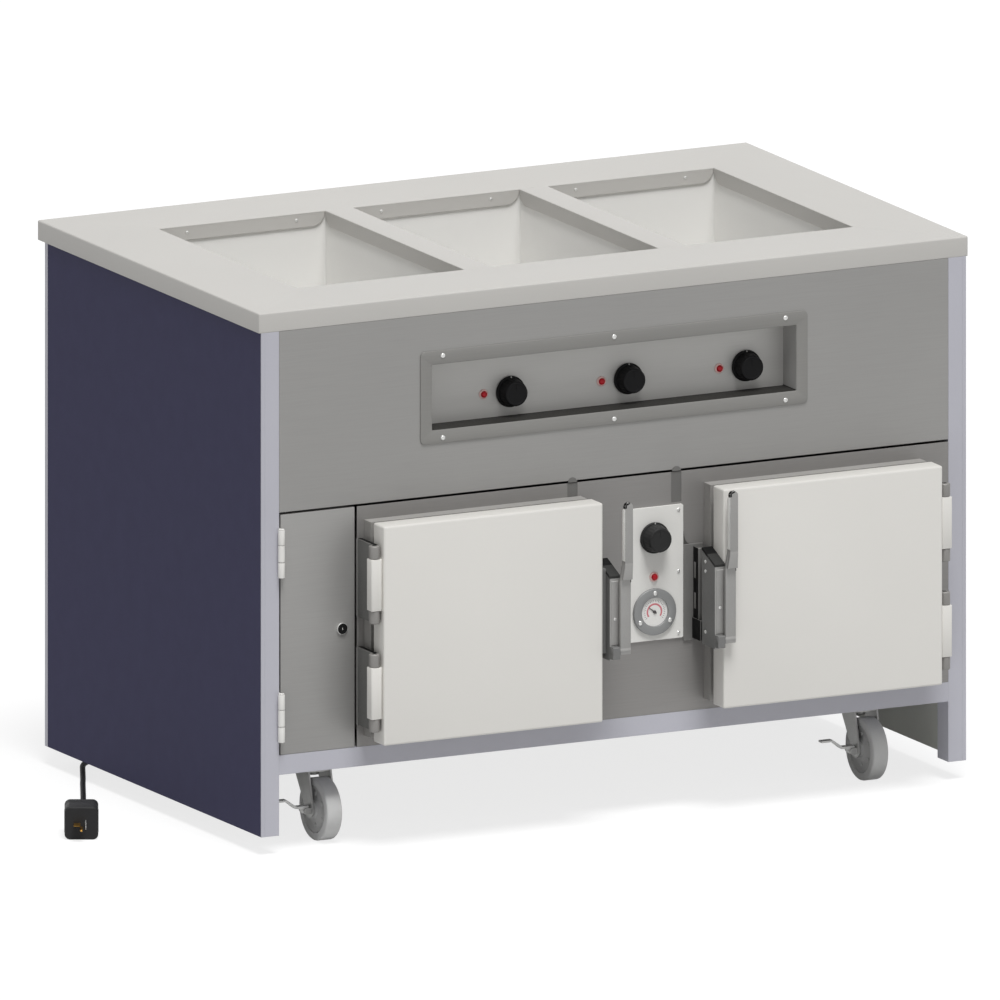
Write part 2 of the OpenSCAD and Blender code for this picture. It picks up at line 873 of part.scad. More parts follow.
// A switch behind a panel at y, with its shaft's bore
module rotary_switch(p, y) {
    difference() {
        block(about(p[0], switch_w / 2), [y, y + switch_d], about(p[1], switch_w / 2));
        bar_y(p[0], [y - 1, y + switch_d - 3], p[1], shaft_d / 2 + run_gap);
    }
}

module control_switches() {
    color(black) {
        for (k = well_knobs)
            rotary_switch(k, recess_depth + sheet_t);
        rotary_switch(plate_knob, 0);
    }
}

module lamp(p, y) {
    bar_y(p[0], [y - 2, y], p[1], lamp_d / 2);
    bar_y(p[0], [y - 4, y + tiny], p[1], lamp_d / 2 - 2.5);
    bar_y(p[0], [y - tiny, y + 24], p[1], lamp_hole_r - 0.1);
}

module pilot_lamps() {
    color([0.75, 0.12, 0.14]) {
        for (p = recess_lamps)
            lamp(p, recess_depth);
        lamp(plate_lamp, -plate_t);
    }
}

// A skirted knob in front of y, with its shaft behind it and a pointer toward the top
module knob(p, y, shaft_l) {
    r = knob_d / 2;
    color(black) {
        at([p[0], y - knob_gap, p[1]])
            rotate([90, 0, 0])
                rotate_extrude()
                    polygon([
                        [0, 0], [r, 0], [r, 5], [r - 4, 7], [r - 5.5, knob_h - knob_gap - 1.5],
                        [r - 7, knob_h - knob_gap], [0, knob_h - knob_gap]
                    ]);
        bar_y(p[0], [y - knob_gap - 1, y + shaft_l], p[1], shaft_d / 2);
        block([p[0] - 1.5, p[0] + 1.5], [y - knob_h - 1, y - knob_h + 1], [p[1] + 4, p[1] + r - 8]);
    }
}

module well_knob_left() {
    knob(well_knobs[0], recess_depth, sheet_t + shaft_grip);
}

module well_knob_centre() {
    knob(well_knobs[1], recess_depth, sheet_t + shaft_grip);
}

module well_knob_right() {
    knob(well_knobs[2], recess_depth, sheet_t + shaft_grip);
}

module thermostat_knob() {
    knob(plate_knob, -plate_t, plate_t + shaft_grip);
}

// A box as large as a cabinet door, drawn in by an inset
module door_block(i, inset, y) {
    block([door_x[i] + inset, door_x[i] + door_w - inset], y, [door_z + inset, door_z + door_h - inset]);
}

module lower_facia() {
    z = [sill_z + seat_gap, split_z];
    color(steel) {
        difference() {
            block([facia_x, in_x - seat_gap], [0, sheet_t], z);
            for (i = [0, 1])
                door_block(i, casing_in - seat_gap, [-1, sheet_t + 1]);
            block(about(plate_x, plate_hole[0] / 2), [-1, sheet_t + 1], about(plate_z, plate_hole[1] / 2));
            for (n = notches)
                block(about(n[0], notch_w / 2), [-1, sheet_t + 1], [split_z - n[1], split_z + 1]);
            screw_holes(plate_screws, [-1, sheet_t + 1]);
        }
        block([facia_x, in_x - seat_gap], [0, return_d], [z[0], z[0] + sheet_t]);
        for (n = notches)
            block(
                about(n[0], notch_w / 2 + notch_backing), [sheet_t, 2 * sheet_t],
                [split_z - n[1] - n[2], split_z - 1]
            );
    }
}

module cabinet(i) {
    t = casing_t;
    foot_z = [sill_z + pan_t, door_z + casing_in + t / 2];
    color(steel) {
        difference() {
            union() {
                door_block(i, collar_inset, [-collar_d, 0]);
                door_block(i, casing_in, [-tiny, cabinet_d]);
            }
            door_block(i, collar_inset + t, [-collar_d + t, -t]);
            door_block(i, casing_in + t, [-collar_d + t, cabinet_d - t]);
            door_block(i, liner_in - seat_gap, [-collar_d - 1, -collar_d + t + 1]);
        }
        for (x = [door_x[i] + foot_in, door_x[i] + door_w - foot_in], y = [foot_in, cabinet_d - foot_in])
            bar_z(x, y, foot_z, foot_r);
    }
}

module left_cabinet() {
    cabinet(0);
}

module right_cabinet() {
    cabinet(1);
}

module cabinet_liners() {
    color([0.55, 0.54, 0.50])
        for (i = [0, 1])
            difference() {
                door_block(i, liner_in, [-collar_d, cabinet_d - casing_t - cabinet_wall]);
                door_block(i, liner_in + casing_t, [-collar_d - 1, cabinet_d - 2 * casing_t - cabinet_wall]);
            }
}

// Ledges along both side walls of both cabinets
module pan_slides() {
    gap = liner_in + casing_t + seat_gap / 2;
    y = [20, cabinet_d - cabinet_wall - 20];
    color(steel_dark)
        for (i = [0, 1], z = slide_z, s = [-1, 1]) {
            mid = door_x[i] + door_w / 2;
            out = door_w / 2 - gap;
            block([mid, mid] + side(s, out - slide_w, out), y, [z, z + slide_t]);
            block([mid, mid] + side(s, out - slide_t, out), y, [z, z + slide_rise]);
        }
}

module hinge_brackets() {
    color(steel_dark) {
        for (i = [0, 1], h = hinge_z) {
            s = i == 0 ? 1 : -1;
            low = h - hinge_h / 2;
            high = h + hinge_h / 2;
            arm_x = [axis_x[i], axis_x[i]] + side(s, 0, arm_t);
            block([axis_x[i], axis_x[i]] + side(s, -2, arm_t), [-arm_foot_t, 0], [low, high]);
            block(arm_x, [-hinge_reach + cover_sweep + 1, -tiny], [low, high]);
            for (z = [[low, low + knuckle_h], [high - knuckle_h, high]]) {
                bar_z(axis_x[i], -hinge_reach, z, hinge_d / 2);
                block(arm_x, [-hinge_reach, -arm_foot_t], z);
            }
            bar_z(axis_x[i], -hinge_reach, [low + 1, high - 1], pin_d / 2);
        }
        for (s = [-1, 1]) {
            mid = access_mid_z + s * barrel_spacing / 2;
            fixed = [
                [mid - barrel_h / 2, mid - barrel_h / 6 - seat_gap],
                [mid + barrel_h / 6 + seat_gap, mid + barrel_h / 2]
            ];
            for (z = fixed) {
                bar_z(access_axis_x, access_axis_y, z, barrel_d / 2);
                block([-in_x, -in_x + leaf_t], [access_axis_y, leaf_d], z);
            }
            block([-in_x, -in_x + leaf_t], [seat_gap, leaf_d], about(mid, barrel_h / 2));
            bar_z(access_axis_x, access_axis_y, about(mid, barrel_h / 2 - 1), barrel_pin_d / 2);
        }
    }
}

// The strikes, each on a foot that reaches to the collar or the control plate beside it
module latch_strikes() {
    foot_x = [door_x[0] + door_w - collar_inset + strike_gap, plate_x + plate_w / 2 + strike_gap];
    color(black)
        for (i = [0, 1]) {
            x = latch_x[i];
            block([foot_x[i], x + latch_w], [-arm_foot_t, 0], about(latch_mid_z, latch_h / 2));
            block(
                [x - strike_out, x + strike_w], [-latch_back + strike_gap, -tiny],
                about(latch_mid_z, latch_h / 2 - 4)
            );
        }
}

module control_plate() {
    color(pale)
        difference() {
            front_slab([-plate_t, 0])
                translate([plate_x, plate_z])
                    round_rect(plate_w, plate_h, 3);
            bar_y(plate_knob[0], [-plate_t - 1, 1], plate_knob[1], shaft_d / 2 + 1);
            bar_y(plate_lamp[0], [-plate_t - 1, 1], plate_lamp[1], lamp_hole_r);
            bar_y(gauge[0], [-plate_t - 1, 1], gauge[1], gauge_dial_d / 2);
            screw_holes(plate_screws, [-plate_t - 1, 1]);
            screw_holes(gauge_screws, [-plate_t - 1, 1]);
        }
}

module thermometer() {
    front = -plate_t - gauge_t;
    color([0.5, 0.5, 0.5])
        difference() {
            union() {
                bar_y(gauge[0], [front, -plate_t], gauge[1], gauge_d / 2);
                bar_y(gauge[0], [-plate_t - 1, 22], gauge[1], gauge_dial_d / 2 - seat_gap);
            }
            bar_y(gauge[0], [front - 1, front + 3], gauge[1], gauge_dial_d / 2);
            screw_holes(gauge_screws, [front - 1, -plate_t + 1]);
        }
}

module access_door() {
    z = [sill_z + seat_gap, split_z];
    color(steel)
        difference() {
            union() {
                tray([access_x, access_end_x], [0, return_d], z);
                for (s = [-1, 1]) {
                    mid = access_mid_z + s * barrel_spacing / 2;
                    knuckle = about(mid, barrel_h / 6);
                    bar_z(access_axis_x, access_axis_y, knuckle, barrel_d / 2);
                    block([access_x - leaf_t, access_x], [access_axis_y, leaf_d], knuckle);
                    block([access_x - leaf_t, access_x], [seat_gap, leaf_d], about(mid, barrel_h / 2));
                }
            }
            for (s = [-1, 1]) {
                mid = access_mid_z + s * barrel_spacing / 2;
                bar_z(access_axis_x, access_axis_y, about(mid, barrel_h / 2), barrel_pin_d / 2 + run_gap);
            }
            bar_y(access_end_x - lock_in, [-1, sheet_t + 1], access_mid_z, lock_barrel_r + run_gap);
        }
}

module access_lock() {
    x = access_end_x - lock_in;
    cam_y = [return_d + 2 * seat_gap, return_d + 2 * seat_gap + cam_t];
    color(black) {
        difference() {
            bar_y(x, [-lock_head_t - seat_gap, -seat_gap], access_mid_z, lock_d / 2);
            block(about(x, 1), [-lock_head_t - 1, -lock_head_t + 0.7], about(access_mid_z, 4));
        }
        bar_y(x, [-seat_gap - tiny, cam_y[1]], access_mid_z, lock_barrel_r);
        block(about(x, cam_w / 2), cam_y, [access_mid_z - cam_reach, access_mid_z]);
    }
}

module junction_box() {
    y = [box_y, box_y + box_d];
    z = [sill_z + pan_t, sill_z + pan_t + box_h];
    color(steel)
        difference() {
            block(about(plate_x, box_w / 2), y, z);
            block(about(plate_x, box_w / 2 - sheet_t), grown(y, -sheet_t), grown(z, -sheet_t));
        }
}

module door(i) {
    s = i == 0 ? 1 : -1;
    color(pale)
        difference() {
            union() {
                front_slab([-door_front, -door_back])
                    translate([door_x[i] + door_w / 2, door_z + door_h / 2])
                        round_rect(door_w, door_h, door_r);
                for (h = hinge_z) {
                    cover = about(h, hinge_cover_h / 2);
                    at([axis_x[i], -hinge_reach, cover[0]])
                        linear_extrude(hinge_cover_h)
                            round_rect(cover_w, cover_w, cover_r);
                    block(
                        [axis_x[i], axis_x[i]] + side(s, 0, hinge_to_door + tiny),
                        about(-hinge_reach, hinge_leaf_t / 2), cover
                    );
                }
            }
            for (h = hinge_z)
                bar_z(axis_x[i], -hinge_reach, about(h, hinge_cover_h / 2 + 1), pin_d / 2 + run_gap);
        }
}

module gasket(i) {
    w = door_w - 2 * gasket_inset;
    h = door_h - 2 * gasket_inset;
    color([0.30, 0.30, 0.30])
        front_slab([-door_back, -collar_d - seat_gap])
            translate([door_x[i] + door_w / 2, door_z + door_h / 2])
                difference() {
                    round_rect(w, h, door_r);
                    square([w - 2 * gasket_w, h - 2 * gasket_w], center = true);
                }
}

// The latch's body on the door's free edge, with the lug and pin of its handle
module latch(i) {
    x = latch_x[i];
    color(steel_dark) {
        side_slab([x, x + latch_w])
            polygon([
                [-latch_back, latch_z], [-latch_front, latch_z],
                [-latch_front, latch_z + latch_h - latch_slope], [-latch_back, latch_z + latch_h]
            ]);
        block(
            [x, x + grip_plate_x - seat_gap], [-grip_pivot_y - grip_t, -latch_front + tiny],
            [grip_pivot_z - grip_t, grip_pivot_z + grip_t]
        );
        bar_x([x + 1, x + grip_plate_x + grip_plate_w], -grip_pivot_y, grip_pivot_z, grip_pin_r);
        if (i == 0)
            block(
                [door_x[0] + door_w, x + tiny], [-latch_front + 14, -latch_back - 12],
                about(latch_mid_z, latch_h / 2 - 10)
            );
    }
}

// The latch's handle: a plate on its pivot barrel, a neck and a grip that stands further out
module handle(i) {
    x = latch_x[i];
    plate_xs = [x + grip_plate_x, x + grip_plate_x + grip_plate_w];
    grip_xs = [x + grip_x, x + grip_x + grip_w];
    plate_top = latch_z + grip_plate_h;
    neck_top = plate_top + grip_neck_h;
    out_y = [-grip_reach, -grip_reach + grip_t];
    plate_y = [-grip_pivot_y - grip_t + 1, -grip_pivot_y + 1];
    grip_top = grip_pivot_z - 10 + grip_h;
    color(steel_dark)
        difference() {
            union() {
                bar_x(plate_xs, -grip_pivot_y, grip_pivot_z, grip_t);
                block(plate_xs, plate_y, [grip_pivot_z, plate_top + tiny]);
                front_slab([out_y[0], plate_y[1]])
                    polygon([
                        [plate_xs[0], plate_top], [plate_xs[1], plate_top],
                        [grip_xs[1], neck_top], [grip_xs[0], neck_top]
                    ]);
                block(grip_xs, out_y, [neck_top - tiny, grip_top - grip_w / 2]);
                bar_y(grip_xs[0] + grip_w / 2, out_y, grip_top - grip_w / 2, grip_w / 2);
            }
            bar_x([plate_xs[0] - 1, plate_xs[1] + 1], -grip_pivot_y, grip_pivot_z, grip_pin_r + run_gap);
        }
}

module left_door() {
    door(0);
}

module left_gasket() {
    gasket(0);
}

module left_latch() {
    latch(0);
}

module left_handle() {
    handle(0);
}

module right_door() {
    door(1);
}

module right_gasket() {
    gasket(1);
}

module right_latch() {
    latch(1);
}

module right_handle() {
    handle(1);
}

// The casters' fixed parts: the plate and its bolts, the raceway and the kingpin with its nut
module caster_plates() {
    plate_z0 = base_z - caster_plate_t;
    color(steel_dark)
        for (c = caster_at) {
            block(about(c[0], caster_plate_w / 2), about(c[1], caster_plate_d / 2), [plate_z0, base_z]);
            bar_z(c[0], c[1], [race_z, plate_z0 + tiny], race_r);
            bar_z(c[0], c[1], [crown_z - kingpin_nut[1], plate_z0 + tiny], kingpin_d / 2);
            bar_z(c[0], c[1], [crown_z - kingpin_nut[1], crown_z - seat_gap], kingpin_d / 2 + kingpin_nut[0]);
            for (i = [-1, 1], j = [-1, 1]) {
                x = c[0] + i * bolt_span[0] / 2;
                y = c[1] + j * bolt_span[1] / 2;
                bar_z(x, y, [base_z - tiny, base_z + channel_t + bolt_end], bolt_r);
                bar_z(x, y, [base_z + channel_t, base_z + channel_t + bolt_nut[1]], bolt_r + bolt_nut[0]);
            }
        }
}

// A fork under its raceway: the crown, two legs that lean to the axle, and the axle
module fork(i) {
    c = caster_at[i];
    out = fork_in + fork_t;
    axle_y = c[1] - caster_trail;
    top = race_z - seat_gap;
    color([0.62, 0.62, 0.60]) {
        difference() {
            union() {
                bar_z(c[0], c[1], [crown_z, top], race_r);
                block(about(c[0], out), [c[1] - leg_front, c[1] + leg_back], [crown_z, top]);
            }
            bar_z(c[0], c[1], [crown_z - 1, top + 1], kingpin_d / 2 + run_gap);
        }
        for (s = [-1, 1])
            side_slab([c[0], c[0]] + side(s, fork_in, out)) {
                polygon([
                    [c[1] - leg_front, top], [c[1] + leg_back, top], [c[1] + leg_back, crown_z - 8],
                    [axle_y + axle_eye_r, axle_z], [axle_y - axle_eye_r, axle_z]
                ]);
                translate([axle_y, axle_z])
                    circle(axle_eye_r);
            }
        bar_x(about(c[0], out), axle_y, axle_z, axle_d / 2);
        bar_x([c[0] + out - tiny, c[0] + out + 4], axle_y, axle_z, axle_d / 2 + 3);
    }
}

// The two lugs that hold a brake's pin, on the fork's left leg
module brake_lugs(i) {
    c = caster_at[i];
    b = [c[0] + brake_axis[0], c[1] + brake_axis[1], brake_axis[2]];
    color([0.62, 0.62, 0.60]) {
        for (y = [b[1] - brake_w / 2 - seat_gap - lug_t, b[1] + brake_w / 2 + seat_gap]) {
            block([b[0], c[0] - fork_in - fork_t + tiny], [y, y + lug_t], [b[2] - lug_r, b[2] + lug_r]);
            bar_y(b[0], [y, y + lug_t], b[2], lug_r);
        }
        bar_y(b[0], [b[1] - brake_w / 2 - lug_t, b[1] + brake_w / 2 + lug_t], b[2], brake_pin_r);
    }
}

module fork_front_left() {
    fork(0);
    brake_lugs(0);
}

module fork_front_right() {
    fork(1);
    brake_lugs(1);
}

module fork_rear_left() {
    fork(2);
}

module fork_rear_right() {
    fork(3);
}

module wheel(i) {
    c = caster_at[i];
    r = wheel_d / 2;
    half = wheel_w / 2;
    hub = fork_in - 0.5;
    bore = axle_d / 2 + run_gap;
    color([0.68, 0.68, 0.68])
        at([c[0], c[1] - caster_trail, axle_z])
            rotate([0, 90, 0])
                rotate_extrude($fn = 96)
                    polygon([
                        [bore, -hub], [hub_r, -hub], [hub_r + 2, -half + 5], [rim_r, -half + 5],
                        [rim_r + 2, -half], [r - 3, -half], [r, -half + 4],
                        [r, half - 4], [r - 3, half], [rim_r + 2, half],
                        [rim_r, half - 5], [hub_r + 2, half - 5], [hub_r, hub], [bore, hub]
                    ]);
}

module wheel_front_left() {
    wheel(0);
}

module wheel_front_right() {
    wheel(1);
}

module wheel_rear_left() {
    wheel(2);
}

module wheel_rear_right() {
    wheel(3);
}

// A brake pedal: a barrel on its pin, a tread over it, and an arm that bends up to its tip
module brake(i) {
    c = caster_at[i];
    b = [c[0] + brake_axis[0], c[1] + brake_axis[1], brake_axis[2]];
    y = [b[1] - brake_w / 2, b[1] + brake_w / 2];
    color(steel)
        difference() {
            side_profile = [
                [5, 3], [5, 8], [-16, 8], [-34, 21], [-54, 21], [-54, 18], [-35, 18], [-19, 5], [-5, 3]
            ];
            union() {
                bar_y(b[0], y, b[2], brake_pin_r + 3);
                front_slab(y)
                    translate([b[0], b[2]])
                        polygon(side_profile);
            }
            bar_y(b[0], [y[0] - 1, y[1] + 1], b[2], brake_pin_r + run_gap);
        }
}

module brake_left() {
    brake(0);
}

module brake_right() {
    brake(1);
}

module strain_relief() {
    x = relief[0];
    y = relief[1];
    color(black) {
        at(relief)
            cylinder(h = relief_taper_l, r1 = cord_r + 2, r2 = gland_r + 1);
        bar_z(x, y, [relief[2] + relief_taper_l - tiny, sill_z - seat_gap], gland_r + 5);
        bar_z(x, y, [sill_z - 1, sill_z + pan_t + gland_nut_h], gland_r);
        bar_z(x, y, [sill_z + pan_t + seat_gap, sill_z + pan_t + gland_nut_h], gland_r + 4);
    }
}

function unit(v) = v / norm(v);

function heading(path, i) = unit(path[min(i + 1, len(path) - 1)] - path[max(i - 1, 0)]);

// Sweeps a ring of n points along a path; ref is the direction of the ring's first point
function sweep_points(path, r, n, ref) = [
    for (i = [0:len(path) - 1])
        let (t = heading(path, i), s = unit(ref - (ref * t) * t), u = cross(t, s))
            for (k = [0:n - 1])
                path[i] + r * (cos(360 * k / n) * s + sin(360 * k / n) * u)
];

function sweep_faces(rings, n) = concat(
    [for (k = [1:n - 2]) [0, k, k + 1]],
    [for (k = [1:n - 2]) let (e = (rings - 1) * n) [e, e + k + 1, e + k]],
    [
        for (i = [0:rings - 2], k = [0:n - 1], half = [0, 1])
            let (a = i * n + k, b = i * n + (k + 1) % n)
                half == 0 ? [a, a + n, b + n] : [a, b + n, b]
    ]
);

module sweep(path, r, n, ref) {
    polyhedron(sweep_points(path, r, n, ref), sweep_faces(len(path), n));
}

function to_row(path) = [for (p = path) [p[0], p[1] + front_y, p[2]]];

// The coil winds inward on the upper layer, climbs down at its tightest turn and winds out on the floor
function coil_drop(t) =
    t < coil_middle - 0.25 ? 1 : t > coil_middle + 0.25 ? 0 : (1 + cos(360 * (t - coil_middle + 0.25))) / 2;

function coil_point(t) =
    let (r = coil_inner_r + coil_pitch * abs(t - coil_middle))
        [coil_c[0] + r * cos(360 * t), coil_c[1] + r * sin(360 * t), cord_r + coil_rise * coil_drop(t)];

coil_path = concat(
    [[coil_x, coil_y - cord_d, cord_r + coil_rise]],
    [for (i = [0:coil_turns * coil_steps]) coil_point(i / coil_steps)],
    [[coil_c[0] - cord_d, coil_c[1] + coil_end_r, cord_r]]
);
coil_gap = min([
    for (i = [0:len(coil_path) - 1], j = [i + coil_steps / 2:len(coil_path) - 1])
        norm(coil_path[i] - coil_path[j]) - cord_d
]);
echo(least_gap_of_the_coil = coil_gap);

module power_cord() {
    color(black) {
        sweep(to_row(run_in), cord_r, 8, [1, 0, 0]);
        sweep(to_row(run_out), cord_r, 8, [0, 0, 1]);
    }
}

module cord_coil() {
    color(black)
        sweep(to_row(coil_path), cord_r, 6, [0, 0, 1]);
}

// The plug, drawn along X from the cord's end
module plug() {
    front = neck_l + plug_l;
    at(plug_back)
        rotate([0, 0, plug_turn]) {
            color(black) {
                rotate([0, 90, 0])
                    cylinder(h = neck_l + tiny, r1 = cord_r + 3, r2 = plug_w / 2 - 5);
                translate([neck_l, 0, 0])
                    rotate([90, 0, 90])
                        linear_extrude(plug_l)
                            round_rect(plug_w, plug_w, 5);
            }
            color([0.75, 0.6, 0.3]) {
                translate([front - 1, -blade_pitch / 2 - blade_w / 2, -blade_t / 2])
                    cube([blade_l + 1, blade_w, blade_t]);
                translate([front - 1, blade_pitch / 2 - blade_t / 2, -blade_w / 2])
                    cube([blade_l + 1, blade_t, blade_w]);
                translate([front - 1, 0, -blade_pitch / 2])
                    rotate([0, 90, 0])
                        cylinder(h = blade_l + 3, r = 2.4);
            }
        }
}

base_frame();
base_pan();
body_frame();
left_side_panel();
right_side_panel();
back_panel();
edge_trims();
worktop();
worktop_core();
well_liner_left();
well_liner_centre();
well_liner_right();
well_housings();
heating_elements();
drain_manifold();
drain_valve_lever();
control_panel();
control_box();
panel_screws();
control_switches();
pilot_lamps();
well_knob_left();
well_knob_centre();
well_knob_right();
lower_facia();
left_cabinet();
right_cabinet();
cabinet_liners();
pan_slides();
hinge_brackets();
latch_strikes();
control_plate();
thermostat_knob();
thermometer();
access_door();
access_lock();
junction_box();
left_door();
left_gasket();
left_latch();
left_handle();
right_door();
right_gasket();
right_latch();
right_handle();
caster_plates();
fork_front_left();
fork_front_right();
fork_rear_left();
fork_rear_right();
wheel_front_left();
wheel_front_right();
wheel_rear_left();
wheel_rear_right();
brake_left();
brake_right();
strain_relief();
power_cord();
cord_coil();
plug();
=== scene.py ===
"""Looks of the mobile hot food counter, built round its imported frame. Helpers take millimetres."""

import json
import math

import bmesh
import bpy
from mathutils import Matrix, Vector
from mathutils.geometry import tessellate_polygon


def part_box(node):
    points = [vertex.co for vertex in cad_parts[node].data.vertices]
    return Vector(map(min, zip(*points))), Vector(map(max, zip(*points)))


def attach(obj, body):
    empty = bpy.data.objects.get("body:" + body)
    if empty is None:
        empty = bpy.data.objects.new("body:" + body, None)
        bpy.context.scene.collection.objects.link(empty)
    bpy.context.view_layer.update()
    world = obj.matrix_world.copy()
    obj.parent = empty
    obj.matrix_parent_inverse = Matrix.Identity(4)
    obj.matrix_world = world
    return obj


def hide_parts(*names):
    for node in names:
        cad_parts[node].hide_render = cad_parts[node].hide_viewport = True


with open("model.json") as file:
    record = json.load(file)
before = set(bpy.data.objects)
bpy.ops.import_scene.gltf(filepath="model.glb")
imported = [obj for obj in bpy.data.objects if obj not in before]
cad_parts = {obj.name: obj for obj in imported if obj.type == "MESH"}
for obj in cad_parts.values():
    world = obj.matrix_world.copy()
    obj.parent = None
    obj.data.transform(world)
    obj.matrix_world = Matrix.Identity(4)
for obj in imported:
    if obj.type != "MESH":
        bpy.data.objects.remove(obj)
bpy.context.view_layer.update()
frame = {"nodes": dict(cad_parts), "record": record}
nodes = frame["nodes"]
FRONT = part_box("body_frame")[0].y
MM = 0.001


def at(x, y, z):
    """A point of the row frame; y is measured back from the body's front plane."""
    return Vector((x * MM, FRONT + y * MM, z * MM))


# Camera, at the photograph's angle

AZIMUTH, ELEVATION = math.radians(-26.958), math.radians(12.474)
AIM_RIGHT, AIM_UP, DISTANCE, VIEW_WIDTH = -0.02619, 0.44130, 6.0, 1.5961
back = Vector((
    math.sin(AZIMUTH) * math.cos(ELEVATION), -math.cos(AZIMUTH) * math.cos(ELEVATION), math.sin(ELEVATION)
))
camera = bpy.data.objects.new("camera", bpy.data.cameras.new("camera"))
bpy.context.scene.collection.objects.link(camera)
camera.rotation_mode = "QUATERNION"
camera.rotation_quaternion = (-back).to_track_quat("-Z", "Y")
rotation = camera.rotation_quaternion.to_matrix()
camera.location = rotation @ Vector((AIM_RIGHT, AIM_UP, DISTANCE))
camera.data.type = "ORTHO"
camera.data.ortho_scale = VIEW_WIDTH
camera.data.clip_end = 10 * DISTANCE
bpy.context.scene.camera = camera
bpy.context.scene.view_settings.view_transform = "Standard"


# Materials

def linear(*rgb):
    """A colour of 0 to 255 as it shows on a screen, as linear light."""
    return [((c / 255 + 0.055) / 1.055) ** 2.4 if c > 10.31 else c / 255 / 12.92 for c in rgb] + [1.0]


class Nodes:
    """Short calls for one material's node tree."""

    def __init__(self, tree):
        self.tree = tree
        tree.nodes.clear()

    def new(self, kind, inputs=None, **settings):
        node = self.tree.nodes.new("ShaderNode" + kind)
        for key, value in settings.items():
            setattr(node, key, value)
        for key, value in (inputs or {}).items():
            socket = node.inputs[key]
            if isinstance(value, bpy.types.NodeSocket):
                self.tree.links.new(value, socket)
            else:
                socket.default_value = value
        return node

    def noise(self, coords, scale, detail=4.0, stretch=(1, 1, 1), distortion=0.0):
        mapped = self.new("Mapping", {"Vector": coords, "Scale": stretch}).outputs[0]
        return self.new(
            "TexNoise", {"Vector": mapped, "Scale": scale, "Detail": detail, "Distortion": distortion}
        ).outputs["Fac"]

    def mix(self, factor, a, b):
        node = self.new("Mix", data_type="RGBA")
        for index, value in ((0, factor), (6, a), (7, b)):
            if isinstance(value, bpy.types.NodeSocket):
                self.tree.links.new(value, node.inputs[index])
            else:
                node.inputs[index].default_value = value
        return node.outputs[2]

    def spread(self, value, low, high, source=(0.3, 0.7)):
        return self.new(
            "MapRange",
            {"Value": value, "From Min": source[0], "From Max": source[1], "To Min": low, "To Max": high},
        ).outputs[0]


def surface(
    name, colour, rough=0.5, metal=0.0, vary=0.06, cloud=9.0, grain=260.0, stretch=(1, 1, 1), bump=0.04,
    bump_depth=0.0002, soft=0.0, wear=0.0, specular=0.5, speck=None,
):
    """A material with cloudy colour, fine grain in colour, roughness and bump, and worn, rounded edges."""
    material = bpy.data.materials.new(name)
    material.use_nodes = True
    n = Nodes(material.node_tree)
    coords = n.new("TexCoord").outputs["Object"]
    clouds = n.noise(coords, cloud, 5.0)
    fine = n.noise(coords, grain, 3.0, stretch)
    dark = [c * (1 - vary) for c in colour[:3]] + [1]
    light = [min(1.0, c * (1 + vary)) for c in colour[:3]] + [1]
    base = n.mix(n.spread(clouds, 0, 1), dark, light)
    base = n.mix(n.spread(fine, 0, 0.35), base, [c * (1 - 2 * vary) for c in colour[:3]] + [1])
    if speck:
        dots = n.spread(n.noise(coords, speck[1], 2.0), 0, 1, (0.66, 0.72))
        base = n.mix(dots, base, speck[0])
    normal = n.new("Bevel", {"Radius": soft * MM}, samples=6).outputs[0] if soft else None
    if wear and soft:
        true = n.new("NewGeometry").outputs["Normal"]
        lean = n.new("VectorMath", {0: normal, 1: true}, operation="DOT_PRODUCT").outputs["Value"]
        edge = n.spread(lean, wear, 0, (0.80, 0.97))
        edge = n.new("Math", {0: edge, 1: n.spread(clouds, 0.4, 1)}, operation="MULTIPLY").outputs[0]
        base = n.mix(edge, base, [min(1.0, c * 1.25 + 0.04) for c in colour[:3]] + [1])
    bumped = n.new("Bump", {"Strength": bump, "Distance": bump_depth, "Height": fine})
    if normal:
        n.tree.links.new(normal, bumped.inputs["Normal"])
    shader = n.new(
        "BsdfPrincipled",
        {
            "Base Color": base, "Metallic": metal, "Roughness": n.spread(fine, rough - 0.06, rough + 0.06),
            "Specular IOR Level": specular, "Normal": bumped.outputs[0],
        },
    )
    n.new("OutputMaterial", {"Surface": shader.outputs[0]})
    return material


EVEN, BRUSHED = (1, 1, 1), (0.02, 1, 1)


def brushed(name, rgb, bump=0.10, **more):
    """Brushed stainless sheet."""
    return surface(name, linear(*rgb), 0.5, 0.3, 0.03, 3, 700, BRUSHED, bump, **more)


def small_steel(name, rgb, metal=0.2, **more):
    """A small pressed or turned steel piece."""
    return surface(name, linear(*rgb), 0.5, metal, 0.05, 20, 500, EVEN, 0.1, **more)


steel = brushed("steel_panel", (154, 153, 151), soft=0.8, wear=0.25)
steel_bezel = brushed("steel_bezel", (137, 136, 133), soft=0.8, wear=0.25)
steel_low = brushed("steel_facia", (141, 139, 137), soft=0.8, wear=0.25)
steel_in = surface("steel_inside", linear(150, 148, 142), 0.6, 0.3, 0.05, 6, 300, EVEN, 0.06, soft=0.8)
# Near-black for the control recess floor: painted shade.
recess_floor_shade = surface("recess_wall", linear(44, 43, 41), 0.6, 0.0, 0.06, 8, 300, specular=0.2)
# A much lighter copy of the panel steel for the recess's back wall: painted light that cancels the shade the
# recess casts on it.
recess_back_lit = brushed("steel_recess_back", (190, 189, 186), 0.08)
steel_door = brushed("steel_service_door", (156, 155, 153))
pale = surface(
    "worktop_steel", linear(196, 194, 190), 0.55, 0.0, 0.02, 2.5, 900, EVEN, 0.05, soft=1.6, wear=0.2
)
liner = surface("liner_steel", linear(225, 224, 221), 0.5, 0.0, 0.02, 4, 500, EVEN, 0.04, soft=2)
plate_pale = surface(
    "plate_steel", linear(240, 239, 235), 0.5, 0.0, 0.02, 6, 600, EVEN, 0.04, soft=0.6, wear=0.2
)
